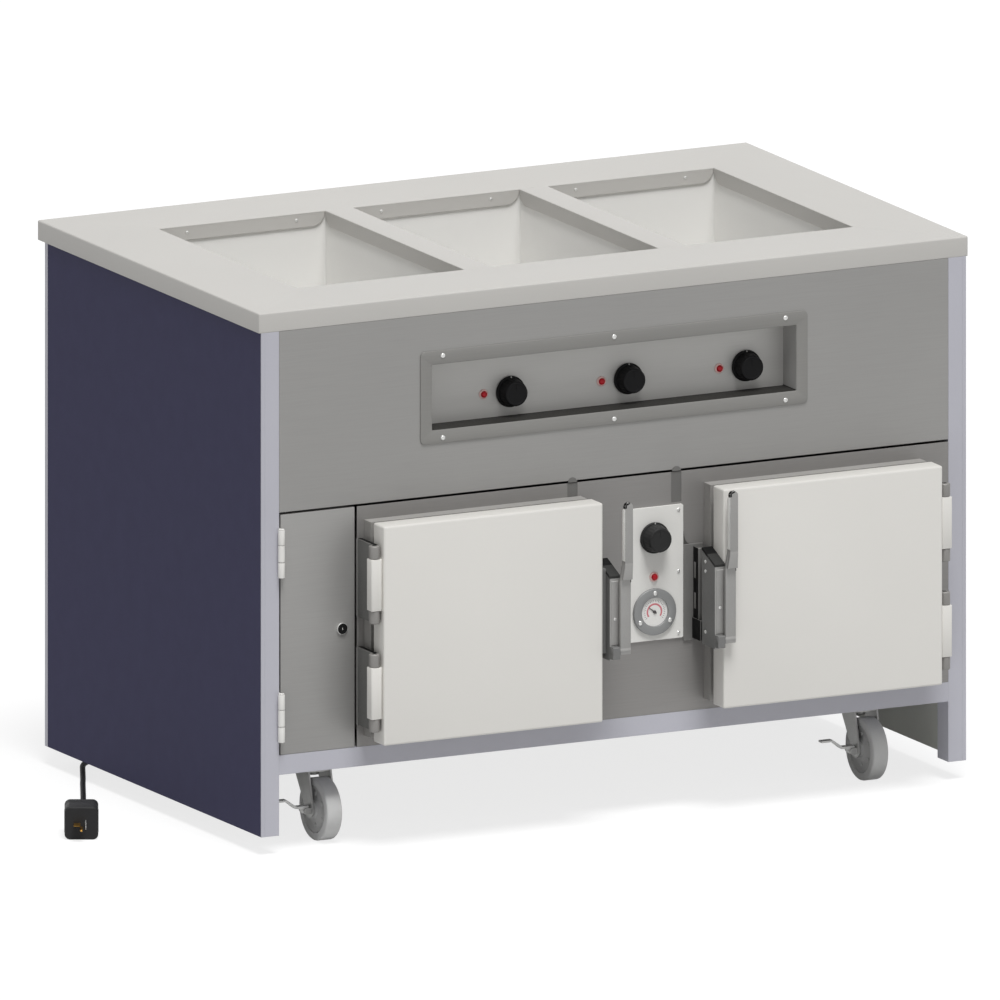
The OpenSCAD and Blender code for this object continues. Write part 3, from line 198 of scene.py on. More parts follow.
door_skin = surface("door_skin", linear(231, 229, 224), 0.5, 0.0, 0.012, 5, 420, EVEN, 0.10, 0.0002)
# A darker copy of the door skin for the doors' top faces and top edge rounding: painted shade that tones down
# the light from above.
door_top_shaded = surface("door_skin_top", linear(216, 214, 209), 0.5, 0.0, 0.012, 5, 420, EVEN, 0.10, 0.0002)
lavender = surface(
    "frame_enamel", linear(193, 193, 202), 0.5, 0.0, 0.02, 7, 350, EVEN, 0.06, soft=1.0, wear=0.2
)
navy = surface(
    "navy_laminate", linear(57, 56, 84), 0.6, 0.0, 0.05, 30, 1400, EVEN, 0.25, 0.0001, soft=0.6,
    specular=0.12, speck=(linear(67, 66, 96), 900),
)
hinge_grey = small_steel("hinge_steel", (142, 140, 137), 0.3, soft=0.8, wear=0.3)
latch_grey = small_steel("latch_steel", (160, 159, 157), 0.3, soft=0.8, wear=0.3)
latch_side = small_steel("latch_side", (118, 118, 117))
hinge_dark = small_steel("hinge_arm", (112, 112, 110))
channel_grey = small_steel("channel_steel", (113, 112, 110))
strike_grey = small_steel("strike_steel", (119, 118, 116))
strike_dark = small_steel("strike_edge", (84, 83, 81))
# A near-white copy of the caster steel for the brake pedals: painted highlight where light catches their
# plates.
pedal_lit_steel = small_steel("brake_pedal", (232, 232, 230), soft=0.6)
gauge_grey = surface("gauge_ring", linear(146, 147, 147), 0.5, 0.2, 0.04, 20, 600, EVEN, 0.1)
# Near white for a thin strip on the grip's left face: a painted highlight.
grip_edge = surface("grip_edge", linear(252, 252, 248), 0.5, 0.2, 0.04, 20, 600, EVEN, 0.1)
# A lighter copy of the panel steel for the recess's side and top walls: painted light against the recess's
# shade.
recess_side_lit = brushed("steel_recess_side", (166, 165, 163), 0.08)
collar_steel = surface("cabinet_collar", linear(160, 158, 155), 0.6, 0.2, 0.05, 6, 300, EVEN, 0.06, soft=0.8)
panel_back = surface("panel_inside", linear(240, 241, 232), 0.7, 0.0, 0.04, 8, 500, EVEN, 0.1)
latch_black = surface("latch_slope", linear(54, 54, 53), 0.6, 0.0, 0.1, 20, 500, specular=0.15)
zinc = surface("zinc_plate", linear(184, 184, 182), 0.45, 0.4, 0.08, 25, 400, EVEN, 0.1, soft=0.8, wear=0.3)
black = surface("black_moulding", linear(22, 22, 22), 0.6, 0.0, 0.15, 30, 900, EVEN, 0.2, specular=0.12)
knob_black = surface("knob_black", linear(18, 18, 19), 0.5, 0.0, 0.12, 30, 900, EVEN, 0.12, specular=0.12)
knob_grey = surface("knob_grey", linear(46, 46, 46), 0.5, 0.0, 0.12, 30, 900, EVEN, 0.12, specular=0.15)
mark_white = surface("mark_white", linear(214, 214, 210), 0.5, 0.0, 0.04, 60, 900)
rubber = surface("cord_rubber", linear(20, 20, 21), 0.6, 0.0, 0.15, 60, 1200, EVEN, 0.25, specular=0.15)
plug_rubber = surface("plug_rubber", linear(42, 42, 43), 0.55, 0.0, 0.1, 40, 1200, EVEN, 0.3, specular=0.2)
gasket_rubber = surface("gasket_rubber", linear(80, 80, 79), 0.7, 0.0, 0.1, 40, 900, EVEN, 0.2)
tyre = surface("tyre_grey", linear(214, 214, 213), 0.6, 0.0, 0.06, 30, 900, EVEN, 0.2)
wheel_face = surface("wheel_hub", linear(196, 196, 195), 0.55, 0.0, 0.06, 30, 900, EVEN, 0.15)
brass = surface("brass", linear(168, 128, 60), 0.3, 0.9, 0.08, 60, 600, EVEN, 0.05)
bright = surface("bright_steel", linear(222, 222, 220), 0.3, 0.6, 0.05, 50, 600, EVEN, 0.05)
pipe_steel = surface("pipe_steel", linear(170, 170, 168), 0.35, 0.7, 0.05, 20, 500, EVEN, 0.05, soft=0.6)
board = surface("core_board", linear(190, 168, 128), 0.8, 0.0, 0.15, 60, 300, (0.1, 1, 1), 0.3)
lamp_red = surface("lamp_lens", linear(196, 18, 34), 0.35, 0.0, 0.1, 300, 900, specular=0.3)
# The pale bezel ring's pink tint is a painted glow from the red lens.
lamp_rim_painted_glow = surface("lamp_bezel", linear(246, 206, 200), 0.35, 0.0, 0.04, 200, 900)
dial_white = surface("dial_face", linear(244, 243, 240), 0.5, 0.0, 0.01, 60, 900, EVEN, 0.02)
dial_ink = surface("dial_ink", linear(70, 66, 68), 0.6, 0.0, 0.05, 60, 900)
dial_red = surface("dial_red", linear(216, 128, 136), 0.6, 0.0, 0.05, 60, 900)
lever_navy = surface("lever_grip", linear(52, 52, 84), 0.45, 0.0, 0.1, 40, 900, EVEN, 0.1, soft=0.8)

BY_SLOT = {
    "frame_steel": lavender, "laminate": navy, "stainless": steel, "worktop_steel": pale,
    "inner_steel": steel_in, "core_board": board, "element": black, "pipe": pipe_steel, "lever": lever_navy,
    "screw": bright, "switch_body": black, "lamp_red": lamp_red, "knob": knob_black, "dial": hinge_grey,
    "hinge_steel": hinge_grey, "strike": black, "lock": black, "door_skin": door_skin,
    "gasket": gasket_rubber, "caster_steel": zinc, "tyre": tyre, "cord_black": rubber,
    "plug_black": plug_rubber,
}
slot_of = {s["node"]: s["material_slot"] for s in frame["record"]["subparts"]}
BY_NODE = {
    "lower_facia": steel_low, "control_box": steel_bezel, "control_plate": plate_pale, "base_pan": steel_in,
    "left_cabinet": collar_steel, "right_cabinet": collar_steel,
    "left_handle": latch_grey, "right_handle": latch_grey,
    "brake_left": pedal_lit_steel, "brake_right": pedal_lit_steel,
}
for name, node in nodes.items():
    node.data.materials.clear()
    node.data.materials.append(BY_NODE.get(name, BY_SLOT[slot_of[name]]))


# Mesh helpers

AXES = {"x": (Vector((0, 1, 0)), Vector((0, 0, 1)), Vector((1, 0, 0))),
        "y": (Vector((1, 0, 0)), Vector((0, 0, 1)), Vector((0, 1, 0))),
        "z": (Vector((1, 0, 0)), Vector((0, 1, 0)), Vector((0, 0, 1)))}
OPEN = (False, False)  # neither end of a loft is capped
LEAST_R = 0.02  # of a lathe's ring, so that its points stay apart on the axis


def rounded(centre, axis, w, h, r, n=8):
    """Points of a rounded rectangle round centre, in the plane across an axis."""
    u, v, _ = AXES[axis]
    ring = []
    for cx, cy, start in ((1, 1, 0), (-1, 1, 90), (-1, -1, 180), (1, -1, 270)):
        for k in range(n + 1):
            a = math.radians(start + 90 * k / n)
            x, y = cx * (w / 2 - r) + r * math.cos(a), cy * (h / 2 - r) + r * math.sin(a)
            ring.append(centre + MM * (x * u + y * v))
    return ring


def circle(centre, axis, r, n=32):
    u, v, _ = AXES[axis]
    turns = [2 * math.pi * k / n for k in range(n)]
    return [centre + r * MM * (math.cos(a) * u + math.sin(a) * v) for a in turns]


class Piece:
    """Collects one piece's mesh from rings, lathes, boxes and tubes, each with its own material."""

    def __init__(self, *materials):
        self.materials = materials
        self.v, self.f, self.m = [], [], []

    def add(self, verts, faces, mat=0):
        first = len(self.v)
        self.v += [Vector(p) for p in verts]
        self.f += [[first + i for i in face] for face in faces]
        self.m += [mat] * len(faces)

    def loft(self, rings, mat=0, caps=(True, True), closed=False):
        """Joins rings of equally many points; closed joins the last ring to the first."""
        n, count = len(rings[0]), len(rings)
        faces = []
        for i in range(count if closed else count - 1):
            a, b = i * n, (i + 1) % count * n
            faces += [(a + k, a + (k + 1) % n, b + (k + 1) % n, b + k) for k in range(n)]
        if caps[0] and not closed:
            faces.append(tuple(reversed(range(n))))
        if caps[1] and not closed:
            faces.append(tuple((count - 1) * n + k for k in range(n)))
        self.add([p for ring in rings for p in ring], faces, mat)

    def fill(self, loops, mat=0):
        """Fills the flat region between an outer loop and the loops of its holes."""
        self.add([p for loop in loops for p in loop], tessellate_polygon(loops), mat)

    def slab(self, axis, low, high, outline, side=0, wall=0):
        """A prism between two heights of an axis; outline holds the other two coordinates, in order."""
        def point(a, h):
            return at(h, *a) if axis == "x" else at(a[0], h, a[1]) if axis == "y" else at(*a, h)
        rings = [[point(a, h) for a in outline] for h in (low, high)]
        self.loft(rings, wall, OPEN)
        for ring in rings:
            self.fill([ring], side)

    def lathe(self, centre, axis, profile, n=48, mat=0, caps=(True, True), closed=False):
        """Turns (radius, height) points round an axis through centre."""
        u, w, up = AXES[axis]
        turns = [2 * math.pi * k / n for k in range(n)]
        rings = [
            [centre + MM * (max(r, LEAST_R) * (math.cos(a) * u + math.sin(a) * w) + h * up) for a in turns]
            for r, h in profile
        ]
        self.loft(rings, mat, caps, closed)

    def plate(self, centre, axis, w, h, r, profile, mat=0, n=8, caps=(True, True), closed=False):
        """Rounded rectangles of w by h, drawn in by profile's inset at profile's height on the axis."""
        up = AXES[axis][2]
        rings = [
            rounded(centre + MM * height * up, axis, w - 2 * inset, h - 2 * inset, max(r - inset, 0.3), n)
            for inset, height in profile
        ]
        self.loft(rings, mat, caps, closed)
        return rings

    def box(self, low, high, mat=0):
        (x0, y0, z0), (x1, y1, z1) = low, high
        corners = [at(x, y, z) for z in (z0, z1) for x, y in ((x0, y0), (x1, y0), (x1, y1), (x0, y1))]
        self.loft([corners[:4], corners[4:]], mat)

    def tube(self, points, radius, n):
        """Sweeps a circle along points, without twist."""
        turns = [2 * math.pi * k / n for k in range(n)]
        rings, side = [], None
        for i, p in enumerate(points):
            t = (points[min(i + 1, len(points) - 1)] - points[max(i - 1, 0)]).normalized()
            if side is None:
                side = t.orthogonal()
            side = (side - side.dot(t) * t).normalized()
            other = t.cross(side)
            rings.append([p + radius * MM * (math.cos(a) * side + math.sin(a) * other) for a in turns])
        self.loft(rings)

    def turn(self, matrix):
        self.v = [matrix @ p for p in self.v]

    def done(self, name, body, slot, replaces=(), smooth=35, bevel=0.0):
        """Makes the object. Edges under smooth degrees shade round, and bevel cuts the sharp ones."""
        mesh = bpy.data.meshes.new(name)
        mesh.from_pydata([tuple(p) for p in self.v], [], self.f)
        for m in self.materials:
            mesh.materials.append(m)
        mesh.polygons.foreach_set("material_index", self.m)
        b = bmesh.new()
        b.from_mesh(mesh)
        bmesh.ops.remove_doubles(b, verts=b.verts, dist=1e-6)
        bmesh.ops.recalc_face_normals(b, faces=b.faces)
        if bevel:
            sharp = [e for e in b.edges if e.is_manifold and e.calc_face_angle(0) > math.radians(30)]
            bmesh.ops.bevel(
                b, geom=sharp, offset=bevel * MM, segments=2, profile=0.5, affect="EDGES",
                clamp_overlap=True,
            )
        for face in b.faces:
            face.smooth = True
        for e in b.edges:
            e.smooth = e.is_manifold and e.calc_face_angle(0) < math.radians(smooth)
        b.to_mesh(mesh)
        b.free()
        piece = bpy.data.objects.new(name, mesh)
        bpy.context.scene.collection.objects.link(piece)
        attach(piece, body)
        if replaces:
            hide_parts(*([replaces] if isinstance(replaces, str) else replaces))
        return piece


def curve_through(points, step):
    """Points about a step apart on a smooth curve through the given ones."""
    out = []
    for i in range(len(points) - 1):
        p0, p1 = points[max(i - 1, 0)], points[i]
        p2, p3 = points[i + 1], points[min(i + 2, len(points) - 1)]
        count = max(1, round((p2 - p1).length / step))
        for k in range(count):
            t = k / count
            out.append(0.5 * (2 * p1 + (p2 - p0) * t + (2 * p0 - 5 * p1 + 4 * p2 - p3) * t * t
                              + (3 * p1 - p0 - 3 * p2 + p3) * t ** 3))
    return out + [points[-1]]


# Cord, plug and strain relief

CORD_D = 9
RELIEF = (-270, 535, 112)
COIL_CENTRE = (-329.55, 683)
COIL_R, COIL_PITCH, COIL_RISE, COIL_TURNS, COIL_MIDDLE = 42.4, 9.8, 9.6, 3.25, 1.75
PLUG_BACK, PLUG_TURN = (-800, 301, 27), 243
run_in = [
    RELIEF, (-270, 535, 92), (-270, 535, 72), (-270, 535.5, 52), (-270, 538.5, 34), (-270, 546, 20),
    (-270, 558, 10.5), (-270, 574, 5.5), (-270, 594, 4.5), (-270, 614, 5), (-270, 633, 7.5),
    (-270, 653, 11.5), (-270, 674, 14.1),
]
run_out = [
    (-338.55, 740.1, 4.5), (-360, 740, 4.5), (-385, 740.5, 4.5), (-410, 741, 4.5), (-435, 741.5, 4.5),
    (-460, 742, 4.5), (-485, 742, 4.5), (-511, 742, 4.5), (-537, 742, 4.5), (-558, 738, 4.5),
    (-576, 726.5, 4.5), (-590, 709, 4.5), (-601, 688, 4.5), (-612, 666, 4.5), (-624, 642, 4.5),
    (-636, 618, 4.5), (-648, 595, 4.5), (-660, 571, 4.5), (-672, 547, 4.5), (-684, 523, 4.5),
    (-696, 499, 4.5), (-708, 476, 4.5), (-720, 453, 4.5), (-732, 430, 4.5), (-744, 407, 4.5),
    (-756, 384, 5.5), (-768, 361, 9), (-780, 338.5, 16.5), (-790, 320, 23.5), PLUG_BACK,
]


def coil_point(t):
    """The coil's middle line after t turns: inward on the upper layer, down, and outward on the floor."""
    r = COIL_R + COIL_PITCH * abs(t - COIL_MIDDLE)
    if t < COIL_MIDDLE - 0.25:
        drop = 1.0
    elif t > COIL_MIDDLE + 0.25:
        drop = 0.0
    else:
        drop = (1 + math.cos(2 * math.pi * (t - COIL_MIDDLE + 0.25))) / 2
    a = 2 * math.pi * t
    return (COIL_CENTRE[0] + r * math.cos(a), COIL_CENTRE[1] + r * math.sin(a), CORD_D / 2 + COIL_RISE * drop)


COIL_STEPS = 24
coil = [coil_point(i / COIL_STEPS) for i in range(int(COIL_TURNS * COIL_STEPS) + 1)]
route = [at(*p) for p in run_in + coil + run_out]
cord_line = curve_through(route, 0.006)
cord = Piece(rubber)
cord.tube(cord_line, CORD_D / 2 - 0.02, 16)
cord = cord.done("cord", "counter", "cord_black", ("power_cord", "cord_coil"))

relief = Piece(black, rubber)
NUT_H, PAN_T, RIB_PITCH, RIB_GROWTH = 7, 1.5, 4.4, 0.45
x, y, z = RELIEF
pan_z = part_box("strain_relief")[1].z / MM - NUT_H - PAN_T
ribs = []
for k in range(5):
    out, low = k * RIB_GROWTH, z + k * RIB_PITCH
    ribs += [(6.9 + out, low + 3.2), (6.2 + out, low + 3.6), (6.3 + out, low + 4.8), (7.2 + out, low + 5.2)]
relief.lathe(
    at(x, y, 0), "z",
    [(CORD_D / 2 - 0.1, z + 0.2), (6.4, z + 0.2), (6.9, z + 0.8)] + ribs
    + [(9, z + 27), (9, z + 28), (8.6, z + 29), (CORD_D / 2 - 0.1, z + 29)],
    32, 1, OPEN, True,
)
hexagon = [(2, 140), (12.2, 140), (13, 141), (13, pan_z - 1.6), (12.4, pan_z - 0.4), (2, pan_z - 0.4)]
nut = [(2, pan_z + 1.9), (12, pan_z + 1.9), (12, pan_z + 7.8), (11, pan_z + 8.4), (2, pan_z + 8.4)]
relief.lathe(at(x, y, 0), "z", hexagon, 6)
relief.lathe(at(x, y, 0), "z", [(2, pan_z - 1), (8, pan_z - 1), (8, pan_z + 8.4), (2, pan_z + 8.4)], 32)
relief.lathe(at(x, y, 0), "z", nut, 6)
relief = relief.done("cord_gland", "counter", "cord_black", "strain_relief", 30)

plug = Piece(plug_rubber, brass, bright)
PLUG_W = 54
origin = Vector((0, 0, 0))
grip = [
    (22, 0), (21, 0.3), (14, 3), (8, 5.6), (4, 7.2), (1.5, 8.6), (0.4, 10), (0, 12), (0, 30), (0.5, 31),
    (0.5, 32.5), (0, 33.5), (0, 66.5), (0.5, 68.5), (2, 70),
]
plug.plate(origin, "x", PLUG_W, PLUG_W, 9, grip, 0, 8)
for k in range(4):
    low = 38 + 6 * k
    ridge = [(0.4, low), (0, low + 0.6), (0, low + 2.4), (0.4, low + 3)]
    for s in (-1, 1):
        plug.plate(MM * Vector((0, s * 26.6, 0)), "x", 1.6, 34, 0.7, ridge, 0, 2)
collar = [(CORD_D / 2, -6), (6.4, -6), (7.2, -4), (7.4, 1.5), (8.2, 2.2), (2, 2.2)]
plug.lathe(origin, "x", collar, 28, 0, (False, True))
blade = [(0.1, 69), (0, 69.4), (0, 90.4), (0.6, 92)]
plug.plate(MM * Vector((0, -7, 0)), "x", 11, 1.6, 0.4, blade, 1, 2)
plug.plate(MM * Vector((0, 7, 0)), "x", 1.6, 11, 0.4, blade, 2, 2)
plug.lathe(MM * Vector((0, 0, -7)), "x", [(2.4, 69), (2.4, 91), (1.8, 93), (0.6, 94)], 20, 1)
rivet = [(3.6, 0), (3.6, 0.12), (3.0, 0.12), (2.8, -0.6), (0.1, -0.6)]
for s in (-1, 1):
    plug.lathe(MM * Vector((20, s * 17, 26.9)), "z", rivet, 20, 0, OPEN)
plug.turn(Matrix.Translation(at(*PLUG_BACK)) @ Matrix.Rotation(math.radians(PLUG_TURN), 4, "Z"))
plug = plug.done("cord_plug", "counter", "plug_black", "plug", 40)


# Side panels, with laminate on their outer face alone

for side, s in (("left", -1), ("right", 1)):
    skin = Piece(navy, panel_back)
    edge = [
        (2, 31.5), (2.5, 31), (751.5, 31), (752, 31.5), (752, 854.5), (751.5, 855), (2.5, 855), (2, 854.5)
    ]
    skin.slab("x", *sorted((s * 625.4, s * 631)), edge)
    skin.slab("x", *sorted((s * 624.6, s * 625.4)), edge, 1, 1)
    skin.done("side_skin_" + side, "counter", "laminate", side + "_side_panel", 30)


# Worktop and wells

TOP_Z, UNDER_Z, RIM_Z, SHEET, SEAT = 887, 855, 863, 2, 0.3
WELLS = {"left": -342.5, "centre": 5.5, "right": 353.5}
WELL_Y, WELL_W, WELL_D, WELL_FLOOR = 391, 298, 490, 698
TOP_W, TOP_D = 1270, 781

top = Piece(pale, bright)
outer_edge = [
    (2.5, TOP_Z), (1.5, TOP_Z - 0.2), (0.7, TOP_Z - 0.7), (0.2, TOP_Z - 1.5), (0, TOP_Z - 2.5),
    (0, UNDER_Z + 0.4), (0.4, UNDER_Z), (SHEET - 0.4, UNDER_Z), (SHEET, UNDER_Z + 0.4),
    (SHEET, TOP_Z - SHEET),
]
outer = top.plate(at(0, TOP_D / 2, 0), "z", TOP_W, TOP_D, 3, outer_edge, 0, 6, OPEN)
hole_edge = [(-1.5, TOP_Z), (-0.7, TOP_Z - 0.2), (-0.2, TOP_Z - 0.7), (0, TOP_Z - 1.5), (0, TOP_Z - SHEET)]
holes = [
    top.plate(at(x, WELL_Y, 0), "z", WELL_W, WELL_D, 1.2, hole_edge, 0, 4, OPEN)
    for x in WELLS.values()
]
top.fill([outer[0]] + [h[0] for h in holes])
top.fill([outer[-1]] + [h[-1] for h in holes])


def flange_outline(length):
    """The turned down edge of one side of a well: its lower corners are rounded."""
    r = TOP_Z - SHEET - RIM_Z
    arc = [(length / 2 - r + r * math.sin(math.radians(a)), RIM_Z + r - r * math.cos(math.radians(a)))
           for a in range(0, 91, 6)]
    return [(-s, z) for s, z in reversed(arc)] + arc


for x in WELLS.values():
    for s in (-1, 1):
        y0, y1 = sorted((WELL_Y + s * WELL_D / 2, WELL_Y + s * (WELL_D / 2 + SHEET)))
        top.slab("y", y0, y1, [(x + a, z) for a, z in flange_outline(WELL_W)])
        x0, x1 = sorted((x + s * WELL_W / 2, x + s * (WELL_W / 2 + SHEET)))
        top.slab("x", x0, x1, [(WELL_Y + a, z) for a, z in flange_outline(WELL_D)])
        for end in (-1, 1):
            top.lathe(at(x + s * 98, WELL_Y + end * WELL_D / 2, 875.6), "y",
                      [(2.6, end * 0.2), (2.6, -end * 0.3), (1.8, -end * 0.9), (0.6, -end * 1.1)], 16, 1)
top.done("worktop_skin", "counter", "worktop_steel", "worktop", 30)

for side, x in WELLS.items():
    tub = Piece(liner, steel_in)
    centre = at(x, WELL_Y, 0)
    lip, t = 10 - SHEET - SEAT, 1.5
    rim_top = TOP_Z - SHEET - SEAT
    f = WELL_FLOOR
    rings = tub.plate(
        centre, "z", WELL_W + 2 * (SHEET + SEAT), WELL_D + 2 * (SHEET + SEAT), 4,
        [(12, f - t), (8, f - t + 0.4), (3.3, f + 1), (-0.6, f + 5.5), (-t, f + 11), (-t, rim_top - t),
         (-lip, rim_top - t), (-lip, rim_top), (-1.2, rim_top), (-0.3, rim_top - 0.3), (0, rim_top - 1.2),
         (0, f + 12), (1, f + 6.5), (4.2, f + 2), (8.4, f + 0.4), (12, f)],
        0, 8, OPEN,
    )
    holes = [circle(centre + Vector((0, 0, z * MM)), "z", 12) for z in (f - t, f)]
    tub.fill([rings[0], holes[0]])
    tub.fill([rings[-1], holes[1]])
    tub.loft(holes, 0, OPEN)
    drain_ring = [
        (11.9, f - 1.2), (11.9, f + 0.5), (12.6, f + 0.9), (19, f + 0.7), (20, f + 0.1), (20, f - 1.2)
    ]
    tub.lathe(centre, "z", drain_ring, 32, 1, OPEN, True)
    for k in range(3):
        tub.box((x - 11.5, WELL_Y - 8 + 6.5 * k, f - 1.2), (x + 11.5, WELL_Y - 5 + 6.5 * k, f - 0.2), 1)
    tub.done("well_tub_" + side, "counter", "worktop_steel", "well_liner_" + side, 35)


# Control recess, knobs, lamps, thermometer and screws

BEZEL_Z, BEZEL_W, BEZEL_H = 719.5, 693, 152
RECESS_W, RECESS_H, RECESS_Y, CONTROL_Z = 652, 107, 44, 705

recess = Piece(steel_bezel, recess_floor_shade, recess_back_lit, recess_side_lit)
centre = at(0, 0, BEZEL_Z)
rim = recess.plate(centre, "y", BEZEL_W, BEZEL_H, 8, [(0, 0), (0, -1.3), (0.2, -1.8), (0.7, -2)], 0, 8, OPEN)
mouth = recess.plate(centre, "y", RECESS_W, RECESS_H, 1.5, [(-1, -2), (-0.3, -1.7), (0, -1)], 0, 4, OPEN)
inside = recess.plate(centre, "y", RECESS_W, RECESS_H, 1.5, [(0, -1), (0, RECESS_Y)], 1, 4, OPEN)
shell = recess.plate(
    centre, "y", RECESS_W, RECESS_H, 1.5, [(-1.5, 0), (-1.5, RECESS_Y + 1.5)], 0, 4, (False, True)
)
recess.fill([rim[-1], mouth[0]])
recess.fill([rim[0], shell[0]])
# The back wall takes the lighter steel copy: painted light.
recess.fill([inside[-1]], 2)
# The recess floor keeps the near-black paint, which is painted shade; the side and top walls above floor_z
# take a lighter steel copy, which is painted light.
floor_z = (BEZEL_Z - RECESS_H / 2 + 2) * MM
recess.m = [
    3 if m == 1 and max(recess.v[i].z for i in f) > floor_z else m for f, m in zip(recess.f, recess.m)
]
recess.done("control_recess", "counter", "stainless", "control_box", 30)


def knob(name, node, body, x, y, z, black_face):
    """A fluted knob on a skirt with a light index at its top; y is the panel it stands on."""
    k = Piece(black_face, mark_white)
    c = at(x, y, z)
    skirt = [
        (10, -0.6), (24.6, -0.6), (25.3, -1.2), (25.5, -2.4), (25.3, -4.1), (24.6, -4.9), (23.4, -5.2),
        (10, -5.2),
    ]
    k.lathe(c, "y", skirt, 64, 0, OPEN)
    n, flutes, rings = 96, 24, []
    grip = [
        (22.8, -4.6, 0), (22.7, -6, 0.3), (22.4, -7.6, 0.6), (20.8, -20.6, 0.6), (20.3, -22.4, 0.4),
        (19.7, -23.7, 0.1), (18.9, -24.6, 0), (17.8, -25, 0), (16.2, -24.9, 0), (15.6, -24.5, 0),
        (6, -24.4, 0),
    ]
    u, v, up = AXES["y"]
    for r, h, depth in grip:
        ring = []
        for i in range(n):
            a = 2 * math.pi * i / n
            rr = r - depth * (0.5 - 0.5 * math.cos(flutes * a))
            ring.append(c + MM * (rr * (math.cos(a) * u + math.sin(a) * v) + h * up))
        rings.append(ring)
    k.loft(rings)
    k.plate(c + MM * Vector((0, 0, 23.9)), "y", 1.7, 2.6, 0.3, [(0, -4.6), (0, -5.2), (0.2, -5.35)], 1, 2)
    k.plate(c + MM * Vector((0, 0, 10.6)), "y", 2.2, 9, 0.5, [(0, -24), (0, -25), (0.3, -25.2)], 0, 2)
    k.lathe(c, "y", [(3, -2), (3, 17), (0.5, 17)], 20)
    k.done(name, body, "knob", node, 30)


CONTROL_X = {"left": -211, "centre": 0, "right": 211}
KNOB_FROM_LAMP, PLATE_T, GAUGE_SCREW_R = 47.5, 3, 30.75
PLATE_X, PLATE_Z, PLATE_KNOB_Z, PLATE_LAMP_Z, GAUGE_Z = 70.5, 392.6, 451.6, 387.6, 330.6

lamps = Piece(lamp_red, lamp_rim_painted_glow)


def lamp(x, y, z):
    """A pilot lamp with a domed lens in a pale ring; y is the panel it stands on."""
    c = at(x, y, z)
    # The ring takes the pink-tinted pale paint: a painted glow of the lens.
    bezel = [(5, 0.2), (8, 0.2), (8, -1.2), (7.6, -2), (6.8, -2.4), (5.8, -2.4), (5.3, -1.8), (5.2, -0.6)]
    lens = [(4.98, 6), (5.18, -0.5), (5.18, -3), (4.9, -4.2), (4.1, -5.2), (2.8, -5.8), (1.4, -6), (0.3, -6)]
    lamps.lathe(c, "y", bezel, 36, 1, OPEN, True)
    lamps.lathe(c, "y", lens, 36)
    lamps.lathe(c, "y", [(4.6, 5), (5, 5), (5, 24), (4.6, 24)], 20, 1)


for x in CONTROL_X.values():
    lamp(x, RECESS_Y, CONTROL_Z)
lamp(PLATE_X, -PLATE_T, PLATE_LAMP_Z)
lamps.done("pilot_lamp_lenses", "counter", "lamp_red", "pilot_lamps", 40)
for side, x in CONTROL_X.items():
    knob("knob_cap_" + side, "well_knob_" + side, "knob_" + side, x + KNOB_FROM_LAMP, RECESS_Y, CONTROL_Z,
         knob_black)
knob("knob_cap_thermostat", "thermostat_knob", "knob_thermostat", PLATE_X, -PLATE_T, PLATE_KNOB_Z, knob_grey)

dial = Piece(gauge_grey, dial_white, dial_ink, dial_red)
c = at(PLATE_X, 0, GAUGE_Z)
gauge_rim = [(23.5, -3), (38, -3), (38, -6.9), (37.4, -7.7), (36.4, -8), (25, -8), (24, -7.7), (23.5, -7)]
dial.lathe(c, "y", gauge_rim, 96, 0, OPEN, True)
dial.lathe(c, "y", [(23.4, 20), (23.4, -4.9), (0.3, -4.9)], 64, 1)
dial.lathe(c, "y", [(20, 19), (23.3, 19), (23.3, 21.9), (3, 21.9)], 48, 0, (False, True))


def dial_arc(r0, r1, start, end, y, mat, n):
    """A flat band on the dial between two radii and two angles."""
    u, v, up = AXES["y"]
    for i in range(n):
        a, b = (math.radians(start + (end - start) * k / n) for k in (i, i + 1))
        base, lift = c + MM * y * up, c + MM * (y - 0.12) * up
        corners = ((r0, a), (r1, a), (r1, b), (r0, b))
        low = [base + MM * r * (math.cos(t) * u + math.sin(t) * v) for r, t in corners]
        high = [p - base + lift for p in low]
        dial.loft([low, high], mat)


DIAL_START, DIAL_SPAN, TICK, FACE_Y, NEEDLE_TURN = -35, 250, 10, -4.85, math.radians(52)
dial_arc(11.2, 14, DIAL_START, DIAL_START + DIAL_SPAN, FACE_Y, 3, 50)
for i in range(DIAL_SPAN // TICK + 1):
    a = DIAL_START + TICK * i
    dial_arc(16.6 if i % 5 else 15.9, 19.2, a - 0.9, a + 0.9, FACE_Y, 2, 1)
dial.lathe(c, "y", [(2.6, -4.8), (2.6, -6.1), (2.1, -6.6), (0.4, -6.7)], 24, 2)
needle = [(-1.2, -4), (1.2, -4), (0.35, 13), (-0.35, 13)]
lean, rise = math.cos(NEEDLE_TURN), math.sin(NEEDLE_TURN)
turned = [(PLATE_X + x * lean - z * rise, GAUGE_Z + x * rise + z * lean) for x, z in needle]
dial.slab("y", -6, -5.4, turned, 2, 2)
dial.done("thermometer_dial", "counter", "dial", "thermometer", 30)

screws = Piece(bright)
HEAD = [
    (0.3, -0.4), (1, -0.4), (1, 0.3), (0.93, 0.85), (0.76, 1.3), (0.52, 1.55), (0.42, 1.6), (0.4, 0.8),
    (0.08, 0.7),
]


def screw(x, y, z, r=4):
    """A pan head with a socket, standing 1.6 out of the panel at y; its profile is in shares of r."""
    screws.lathe(at(x, y, z), "y", [(k * r, -h) for k, h in HEAD], 24)
    screws.lathe(at(x, y, z), "y", [(1.4, 0.3), (1.4, 7.5)], 12)


